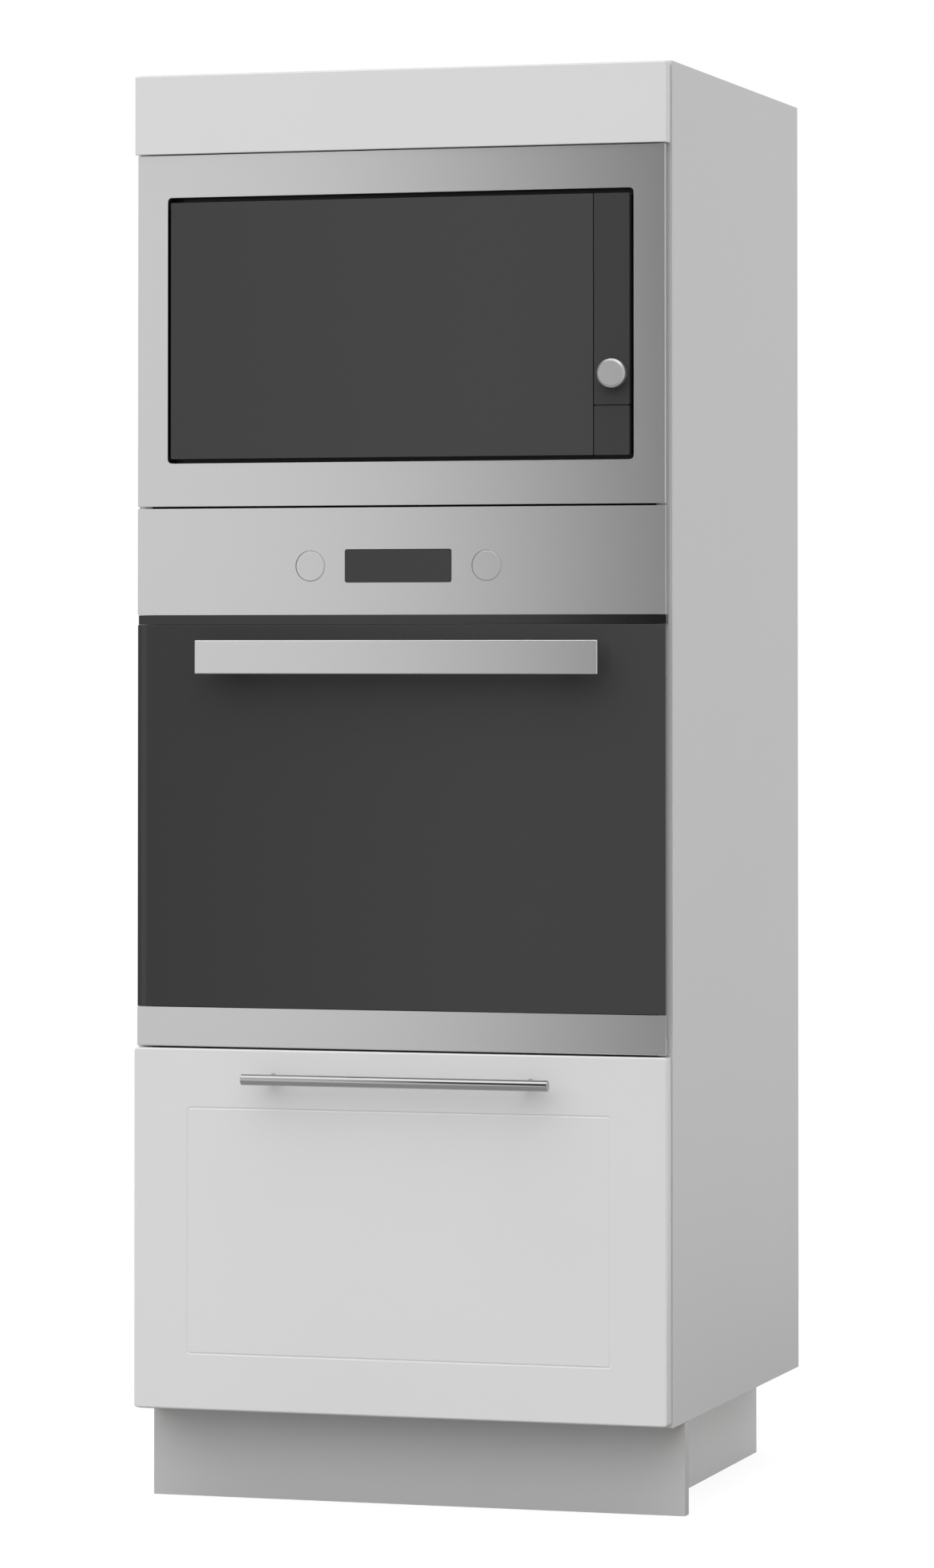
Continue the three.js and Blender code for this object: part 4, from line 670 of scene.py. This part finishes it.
turntable = {
    # Corners of the plate, as (in from the rim, up from the underside or down from the top).
    "foot": ((15 * mm, 0), (12 * mm, 0.6 * mm)),
    "rim": ((1 * mm, 4 * mm), (0, 2 * mm), (0.6 * mm, 0), (2.6 * mm, 0)),
    "dish": ((14 * mm, 4.8 * mm), (18 * mm, 4 * mm)),
    "thickness": 4 * mm,
    "segments": 120,
}
coupler = {
    "spigot": 6 * mm,
    "boss": 14 * mm,
    "bossFall": 11.7 * mm,
    # Corners of the hub, as (in from its side, down from its top).
    "rim": ((0.6 * mm, 3.4 * mm), (0, 2.8 * mm), (0, 0.5 * mm), (0.5 * mm, 0)),
}
rollers = {
    "count": 3,
    "firstAt": 90,
    "track": 95 * mm,
    "radius": 6.4 * mm,
    "half": 4 * mm,
    "rim": 0.8 * mm,
    "rimWidth": 1 * mm,
    "ringRadius": 2.6 * mm,
    "ringPoints": 48,
    "segments": 24,
}


def makePlate():
    x, y, z = spansOf("microwave_turntable")
    radius, low, high = (x[1] - x[0]) / 2, z[0], z[1]
    profile = [(0, low)] + [(radius - inwards, low + rise) for inwards, rise in turntable["foot"]]
    profile += [(radius - inwards, high - fall) for inwards, fall in turntable["rim"]]
    profile += [(radius - inwards, low + rise) for inwards, rise in turntable["dish"]]
    profile.append((0, low + turntable["thickness"]))
    plate = turned(profile, (middle(x), middle(y), 0), "z", turntable["segments"])
    addPiece("turntable_plate", [plate], clearGlass, "turntable", ["microwave_turntable"])


def makeCoupler():
    x, y, z = spansOf("microwave_turntable_hub")
    plateX, plateY, _ = spansOf("microwave_turntable")
    hub, spigot, top = (x[1] - x[0]) / 2, coupler["spigot"], z[1]
    under = top - coupler["bossFall"]
    profile = [(0, z[0]), (spigot, z[0]), (spigot, under), (coupler["boss"], under)]
    profile += [(hub - inwards, top - fall) for inwards, fall in coupler["rim"]]
    shape = turned(profile + [(0, top)], (middle(plateX), middle(plateY), 0), "z")
    addPiece("turntable_coupler", [shape], plastic, "turntable", ["microwave_turntable_hub"])


def makeRollers():
    # The plastic ring and the rollers on it that carry the plate round on the cavity floor.
    x, y, z = spansOf("microwave_turntable")
    track, wheel, half = rollers["track"], rollers["radius"], rollers["half"]
    centreX, centreY, height = middle(x), middle(y), z[0] - wheel
    angles = [2 * math.pi * i / rollers["ringPoints"] for i in range(rollers["ringPoints"])]
    ring = [(centreX + track * math.cos(a), centreY + track * math.sin(a), height) for a in angles]
    radius = rollers["ringRadius"]
    addWire("roller_ring", [ring], radius, plastic, "turntable", closed=True)
    end = [(0, half), (wheel - rollers["rim"], half), (wheel, half - rollers["rimWidth"])]
    profile = [(r, -s) for r, s in end] + list(reversed(end))
    wheels = []
    for i in range(rollers["count"]):
        angle = math.radians(rollers["firstAt"] + 360 * i / rollers["count"])
        c, s = math.cos(angle), math.sin(angle)
        points, faces = turned(profile, (track, 0, 0), "x", rollers["segments"])
        spun = [(px * c - py * s, px * s + py * c, pz) for px, py, pz in points]
        wheels.append(([(centreX + px, centreY + py, height + pz) for px, py, pz in spun], faces))
    addPiece("ring_rollers", wheels, plastic, "turntable")


guideCover = {
    "wall": 22.7 * mm,
    "halfDepth": 40 * mm,
    "halfHeight": 32 * mm,
    "corner": 5 * mm,
    "profile": ((0, 0), (0, 0.5 * mm), (0.4 * mm, 0.8 * mm)),  # (in from the edge, out from the wall)
}


def makeGuideCover():
    # The mica window on the right wall, through which the waves enter.
    wall = spansOf("microwave_door_glass")[0][1] - guideCover["wall"]
    y, z = middle(spansOf("microwave_cavity")[1]), middle(spansOf("microwave_cavity")[2])
    ySpan = (y - guideCover["halfDepth"], y + guideCover["halfDepth"])
    zSpan = (z - guideCover["halfHeight"], z + guideCover["halfHeight"])
    loops = []
    for inset, stand in guideCover["profile"]:
        flat = roundedLoop(shrink(ySpan, inset), shrink(zSpan, inset), guideCover["corner"] - inset, 0)
        loops.append([(wall - stand, along, height) for along, _, height in flat])
    addPiece("wave_guide_cover", [loft(loops)], mica, "cabinet")


makeTrimFrame()
makeMicrowaveGlass()
makeTimerKnob()
makePlate()
makeCoupler()
makeRollers()
makeGuideCover()
print("microwave made")

ovenPane = {"edge": 0.8 * mm, "corner": 1.2 * mm, "steps": 3}


def makeOvenGlass():
    loops = slabLoops(spansOf("oven_door_glass"), ovenPane["corner"], ovenPane["edge"], ovenPane["steps"])
    addPiece("oven_glass", [loft(loops)], ovenGlass, "oven_door", ["oven_door_glass"])


ovenHandle = {
    "edge": 1.4 * mm,
    "corner": 1 * mm,
    "rearCorner": 0.2 * mm,
    "thickness": 9 * mm,
    "postInset": 40 * mm,
    "postWidth": 16 * mm,
    "postMargin": 6 * mm,
    "postCorner": 6 * mm,
}


def makeOvenHandle():
    x, y, z = spansOf("oven_door_handle")
    edge, corner, postCorner = ovenHandle["edge"], ovenHandle["corner"], ovenHandle["postCorner"]
    back = y[0] + ovenHandle["thickness"]
    rear = [roundedLoop(shrink(x, edge), shrink(z, edge), ovenHandle["rearCorner"], back)]
    rear.append(roundedLoop(x, z, corner, back - edge))
    parts = [loft(rear + edgeLoops(x, z, corner, y[0], edge))]
    postZ, half = shrink(z, ovenHandle["postMargin"]), ovenHandle["postWidth"] / 2
    for place in shrink(x, ovenHandle["postInset"]):
        postX = (place - half, place + half)
        parts.append(loft([roundedLoop(postX, postZ, postCorner, end) for end in (y[1], back - edge)]))
    addPiece("oven_handle", parts, steel, "oven_door", ["oven_door_handle"])


ovenKnob = {
    "edge": 1.0 * mm,
    "collar": 0.25 * mm,
    "curve": ((1, 0), (0.1, 0.45), (0, 0.7)),  # (in from the side, back from the face), as shares of the edge
    "bore": 4.3 * mm,
    "boreDepth": 14.5 * mm,
    "segments": 96,
    "sharpAngle": 20,
}


def makeOvenKnob(side):
    node = f"oven_knob_cap_{side}"
    x, y, z = spansOf(node)
    radius, edge = (x[1] - x[0]) / 2 + ovenKnob["collar"], ovenKnob["edge"]
    bore, floor = ovenKnob["bore"], y[1] - ovenKnob["boreDepth"]
    profile = [(0, y[0])]
    profile += [(radius - inwards * edge, y[0] + back * edge) for inwards, back in ovenKnob["curve"]]
    profile += [(radius, y[1]), (bore, y[1]), (bore, floor), (0, floor)]
    shape = turned(profile, (middle(x), 0, middle(z)), "y", ovenKnob["segments"])
    body, angle = f"{side}_knob_cap", ovenKnob["sharpAngle"]
    addPiece(f"oven_knob_{side}", [shape], steel, body, [node], angle)


wireShelf = {"corner": 8 * mm, "bars": 13, "barRadius": 1.5 * mm}


def makeWireShelf():
    x, y, z = spansOf("oven_wire_shelf")
    rim, height = (z[1] - z[0]) / 2, middle(z)
    flat = roundedLoop(shrink(x, rim), shrink(y, rim), wireShelf["corner"], 0)
    loop = [(px, py, height) for px, _, py in flat]
    addWire("wire_shelf_rim", [loop], rim, chrome, "cabinet", ["oven_wire_shelf"], closed=True)
    count, (x0, x1) = wireShelf["bars"], shrink(x, rim)
    places = [x0 + (x1 - x0) * (i + 1) / (count + 1) for i in range(count)]
    bars = [[(place, y[0] + rim, height), (place, y[1] - rim, height)] for place in places]
    addWire("wire_shelf_bars", bars, wireShelf["barRadius"], chrome, "cabinet")


doorSeal = {
    "radius": 1.4 * mm,
    "sideInset": 14 * mm,
    "endInset": 8 * mm,
    "corner": 24 * mm,
    "gap": 0.1 * mm,
    "cornerSteps": 10,
}


def makeDoorSeal():
    x, y, z = spansOf("oven_door_inner_glass")
    radius, steps = doorSeal["radius"], doorSeal["cornerSteps"]
    sealX, sealZ = shrink(x, doorSeal["sideInset"]), shrink(z, doorSeal["endInset"])
    path = roundedLoop(sealX, sealZ, doorSeal["corner"], y[1] + doorSeal["gap"] + radius, steps)
    addWire("oven_door_seal", [path], radius, silicone, "cabinet", closed=True)


cavityWall = 1.5 * mm
grillElement = {
    "radius": 3.2 * mm,
    "rows": 4,
    "half": 150 * mm,
    "bend": 28 * mm,
    "bendSteps": 8,
    "frontInset": 40 * mm,
    "ceiling": 46.5 * mm,
    "clearance": 1.2 * mm,
}


def makeGrillElement():
    # A sheathed heating tube, bent to and fro under the cavity ceiling and fed through the back wall.
    front = spansOf("oven_wire_shelf")[1][0] + grillElement["frontInset"]
    back = spansOf("oven_cavity")[1][1] - cavityWall
    radius, half, bend = grillElement["radius"], grillElement["half"], grillElement["bend"]
    rows, steps = grillElement["rows"], grillElement["bendSteps"]
    height = spansOf("oven_vent_grille")[2][0] - grillElement["ceiling"] - radius - grillElement["clearance"]
    path = []
    for row in range(rows):
        run, sign = front + row * 2 * bend, 1 if row % 2 == 0 else -1
        path += [(-sign * half, run, height), (sign * half, run, height)]
        for turn in range(1, steps if row < rows - 1 else steps // 2 + 1):  # the last bend is a quarter
            a = math.pi * turn / steps
            path.append((sign * (half + bend * math.sin(a)), run + bend - bend * math.cos(a), height))
    path.append((path[-1][0], back, height))
    addWire("grill_element", [path], radius, sheath, "cabinet")


ovenLamp = {
    "radius": 24 * mm,
    "x": -165 * mm,
    "z": 862 * mm,
    # (share of the radius, out from the wall)
    "dome": ((0, 9 * mm), (0.5, 8 * mm), (0.8, 5 * mm), (1, 4 * mm), (1, 0), (0, 0)),
    "segments": 48,
}


def makeOvenLamp():
    wall = spansOf("oven_cavity")[1][1] - cavityWall
    profile = [(share * ovenLamp["radius"], wall - stand) for share, stand in ovenLamp["dome"]]
    dome = turned(profile, (ovenLamp["x"], 0, ovenLamp["z"]), "y", ovenLamp["segments"])
    addPiece("oven_lamp_glass", [dome], clearGlass, "cabinet")


gapShadeStrip = {"height": 7 * mm, "inset": 1 * mm, "corner": 1 * mm, "lift": 0.1 * mm, "gap": 0.3 * mm}


def makeGapShadeStrip():
    # A near-black strip along the front edge of the shelf between the appliances: painted shade, so that the
    # gap reads as a dark line.
    x, y, z = spansOf("microwave_shelf")
    low = spansOf("oven_control_panel")[2][1] + gapShadeStrip["lift"]
    front = spansOf("microwave_trim_frame")[1][1] + gapShadeStrip["gap"]
    xSpan, zSpan = shrink(x, gapShadeStrip["inset"]), (low, low + gapShadeStrip["height"])
    loops = [roundedLoop(xSpan, zSpan, gapShadeStrip["corner"], place) for place in (y[0], front)]
    addPiece("shelf_gap_shade_strip", [loft(loops)], gapShadeBlack, "cabinet")


makeOvenGlass()
makeOvenHandle()
makeOvenKnob("left")
makeOvenKnob("right")
makeWireShelf()
makeDoorSeal()
makeGrillElement()
makeOvenLamp()
makeGapShadeStrip()
print("oven made")

floorLook = {"half": 1.9, "colour": "#aeaeae", "shade": 0.2, "white": 1.06}


def makeFloor():
    # Seen by the camera it is white with a trace of the cabinet's shadow; to the cabinet it is grey.
    half, share = floorLook["half"], floorLook["shade"]
    mesh = bpy.data.meshes.new("floor")
    corners = [(-half, -half, 0), (half, -half, 0), (half, half, 0), (-half, half, 0)]
    mesh.from_pydata(corners, [], [(0, 1, 2, 3)])
    floor = bpy.data.objects.new("floor", mesh)
    bpy.context.scene.collection.objects.link(floor)
    material = bpy.data.materials.new("plain pale floor")
    material.use_nodes = True
    tree = material.node_tree
    tree.nodes.remove(tree.nodes["Principled BSDF"])
    matt = addNode(tree, "BsdfDiffuse", {"Color": linear(floorLook["colour"])})
    shade = addNode(tree, "BsdfDiffuse", {"Color": (share, share, share, 1)})
    glow = addNode(tree, "Emission", {"Strength": floorLook["white"] - share})
    shown = addNode(tree, "AddShader", {0: shade.outputs[0], 1: glow.outputs[0]})
    rays = addNode(tree, "LightPath").outputs
    direct = {0: rays["Is Camera Ray"], 1: rays["Is Transmission Ray"]}
    seen = addNode(tree, "Math", direct, operation="MAXIMUM")
    mix = addNode(tree, "MixShader", {0: seen.outputs[0], 1: matt.outputs[0], 2: shown.outputs[0]})
    tree.links.new(mix.outputs[0], tree.nodes["Material Output"].inputs["Surface"])
    mesh.materials.append(material)


# What polished surfaces see of the room, as (degrees, level) points. The level is a brightness for the
# walls and what is behind, and a share of cover for the rest. Walls and what is behind are measured round
# from straight ahead, the dark panel and the flag sideways, and the ceiling and heights from level.
# The flag is a dark patch that reaches up above the dark panel.
room = {
    "walls": [
        (-180, 0.75),
        (180, 0.75),
        (-100, 0.66),
        (-40, 0.9),
        (-20.5, 0.91),
        (-17.5, 1.05),
        (-15.6, 1.02),
        (-12.6, 0.6),
    ],
    "behind": [(-180, 0), (180, 0), (98, 0), (108, 1.3), (145, 1.3), (155, 0)],
    "darkPanel": [(-90, 0), (90, 0), (-16.2, 0), (-14.8, 1), (-6, 1), (2, 0)],
    "darkPanelHeight": [
        (-90, 0),
        (90, 0),
        (-30, 0),
        (-21, 0.75),
        (-9, 0.75),
        (-6, 0.92),
        (6, 0.92),
        (9, 0.6),
        (21, 0.6),
        (30, 0),
    ],
    "flag": [(-90, 0), (90, 0), (-17.7, 0), (-17.3, 1), (-8, 1), (0, 0)],
    "flagHeight": [(-90, 0), (90, 0), (6, 0), (8, 1), (40, 1), (43, 0)],
    "ceiling": [(-90, 0), (90, 1), (40, 0), (55, 1)],
    "darkPanelLight": 0.04,
    "ceilingLight": 1.8,
    "ambient": 0.46,
    "ambientTilt": 0.4,
}
brightest = 2.0  # a ramp's values end at 1, so they hold shares of this


def makeWorld():
    world = bpy.data.worlds.new("studio")
    bpy.context.scene.world = world
    world.use_nodes = True
    tree = world.node_tree
    tree.nodes.clear()
    axes = addNode(tree, "SeparateXYZ", {"Vector": addNode(tree, "TexCoord").outputs["Generated"]}).outputs
    ahead = addNode(tree, "Math", {0: axes["Y"], 1: -1.0}, operation="MULTIPLY").outputs[0]
    turn = addNode(tree, "Math", {0: axes["X"], 1: ahead}, operation="ARCTAN2").outputs[0]
    lift = addNode(tree, "Math", {0: axes["Z"]}, operation="ARCSINE").outputs[0]
    lean = addNode(tree, "Math", {0: axes["X"]}, operation="ARCSINE").outputs[0]
    angles = {"walls": turn, "behind": turn, "darkPanel": lean, "flag": lean}
    levels = {}
    for name in ("walls", "behind", "darkPanel", "darkPanelHeight", "flag", "flagHeight", "ceiling"):
        reach = 180 if name in ("walls", "behind") else 90
        limits = {"From Min": -math.radians(reach), "From Max": math.radians(reach)}
        along = addNode(tree, "MapRange", {"Value": angles.get(name, lift), **limits}).outputs["Result"]
        stops = [((degrees + reach) / (2 * reach), value / brightest) for degrees, value in room[name]]
        ramp = addNode(tree, "ValToRGB", {"Fac": along}, stops)
        ramp.color_ramp.interpolation = "EASE"
        shares = {0: ramp.outputs["Color"], 1: brightest}
        levels[name] = addNode(tree, "Math", shares, operation="MULTIPLY").outputs[0]
    masks = []
    for name in ("darkPanel", "flag"):
        both = {0: levels[name], 1: levels[name + "Height"]}
        masks.append(addNode(tree, "Math", both, operation="MULTIPLY").outputs[0])
    masked = addNode(tree, "Math", {0: masks[0], 1: masks[1]}, operation="MAXIMUM").outputs[0]
    sides = addNode(tree, "Math", {0: levels["walls"], 1: levels["behind"]}, operation="ADD").outputs[0]
    walls = addNode(tree, "Mix", {0: masked, 2: sides, 3: room["darkPanelLight"]}).outputs[0]
    mirror = addNode(tree, "Mix", {0: levels["ceiling"], 2: walls, 3: room["ceilingLight"]}).outputs[0]
    steepness = addNode(tree, "Math", {0: axes["Z"]}, operation="ABSOLUTE").outputs[0]
    tilt = {0: steepness, 1: room["ambientTilt"], 2: room["ambient"]}
    ambient = addNode(tree, "Math", tilt, operation="MULTIPLY_ADD").outputs[0]
    rays = addNode(tree, "LightPath").outputs
    soft = addNode(tree, "Background", {"Strength": ambient, "Color": (1, 1, 1, 1)}).outputs[0]
    mirrored = addNode(tree, "Background", {"Strength": mirror, "Color": (1, 1, 1, 1)}).outputs[0]
    white = addNode(tree, "Background", {"Color": (1, 1, 1, 1)}).outputs[0]
    lit = addNode(tree, "MixShader", {0: rays["Is Glossy Ray"], 1: soft, 2: mirrored}).outputs[0]
    direct = {0: rays["Is Camera Ray"], 1: rays["Is Transmission Ray"]}
    seen = addNode(tree, "Math", direct, operation="MAXIMUM")
    both = addNode(tree, "MixShader", {0: seen.outputs[0], 1: lit, 2: white})
    tree.links.new(both.outputs[0], addNode(tree, "OutputWorld").inputs["Surface"])


keyLight = {"strength": 2.04, "angle": 90, "azimuth": -15, "height": 53}


def makeKeyLight():
    lamp = bpy.data.lights.new("key", "SUN")
    lamp.energy = keyLight["strength"]
    lamp.angle = math.radians(keyLight["angle"])
    key = bpy.data.objects.new("key", lamp)
    turn, lift = math.radians(keyLight["azimuth"]), math.radians(keyLight["height"])
    towards = Vector((-math.sin(turn) * math.cos(lift), math.cos(turn) * math.cos(lift), -math.sin(lift)))
    key.rotation_euler = towards.to_track_quat("-Z", "Y").to_euler()
    key.visible_glossy = False  # polished surfaces see the room instead
    bpy.context.scene.collection.objects.link(key)


camera = {
    "place": (1.8955, -6.3523, 0.9152),
    "yaw": 16.65,
    "pitch": 1.18,
    "focalPixels": 7436.2,
    "imageHeight": 1965,
    "horizonRow": 671.0,
    "sensor": 36.0,
    "clip": (0.05, 60),
}


def makeCamera():
    data = bpy.data.cameras.new("camera")
    data.sensor_width = camera["sensor"]
    data.lens = camera["focalPixels"] * camera["sensor"] / camera["imageHeight"]
    data.shift_y = (camera["horizonRow"] - camera["imageHeight"] / 2) / camera["imageHeight"]
    data.clip_start, data.clip_end = camera["clip"]
    eye = bpy.data.objects.new("camera", data)
    eye.location = camera["place"]
    eye.rotation_euler = (math.radians(90 + camera["pitch"]), 0, math.radians(camera["yaw"]))
    bpy.context.scene.collection.objects.link(eye)
    bpy.context.scene.camera = eye


makeFloor()
makeWorld()
makeKeyLight()
makeCamera()
bpy.context.scene.view_settings.view_transform = "Standard"
print("studio made")
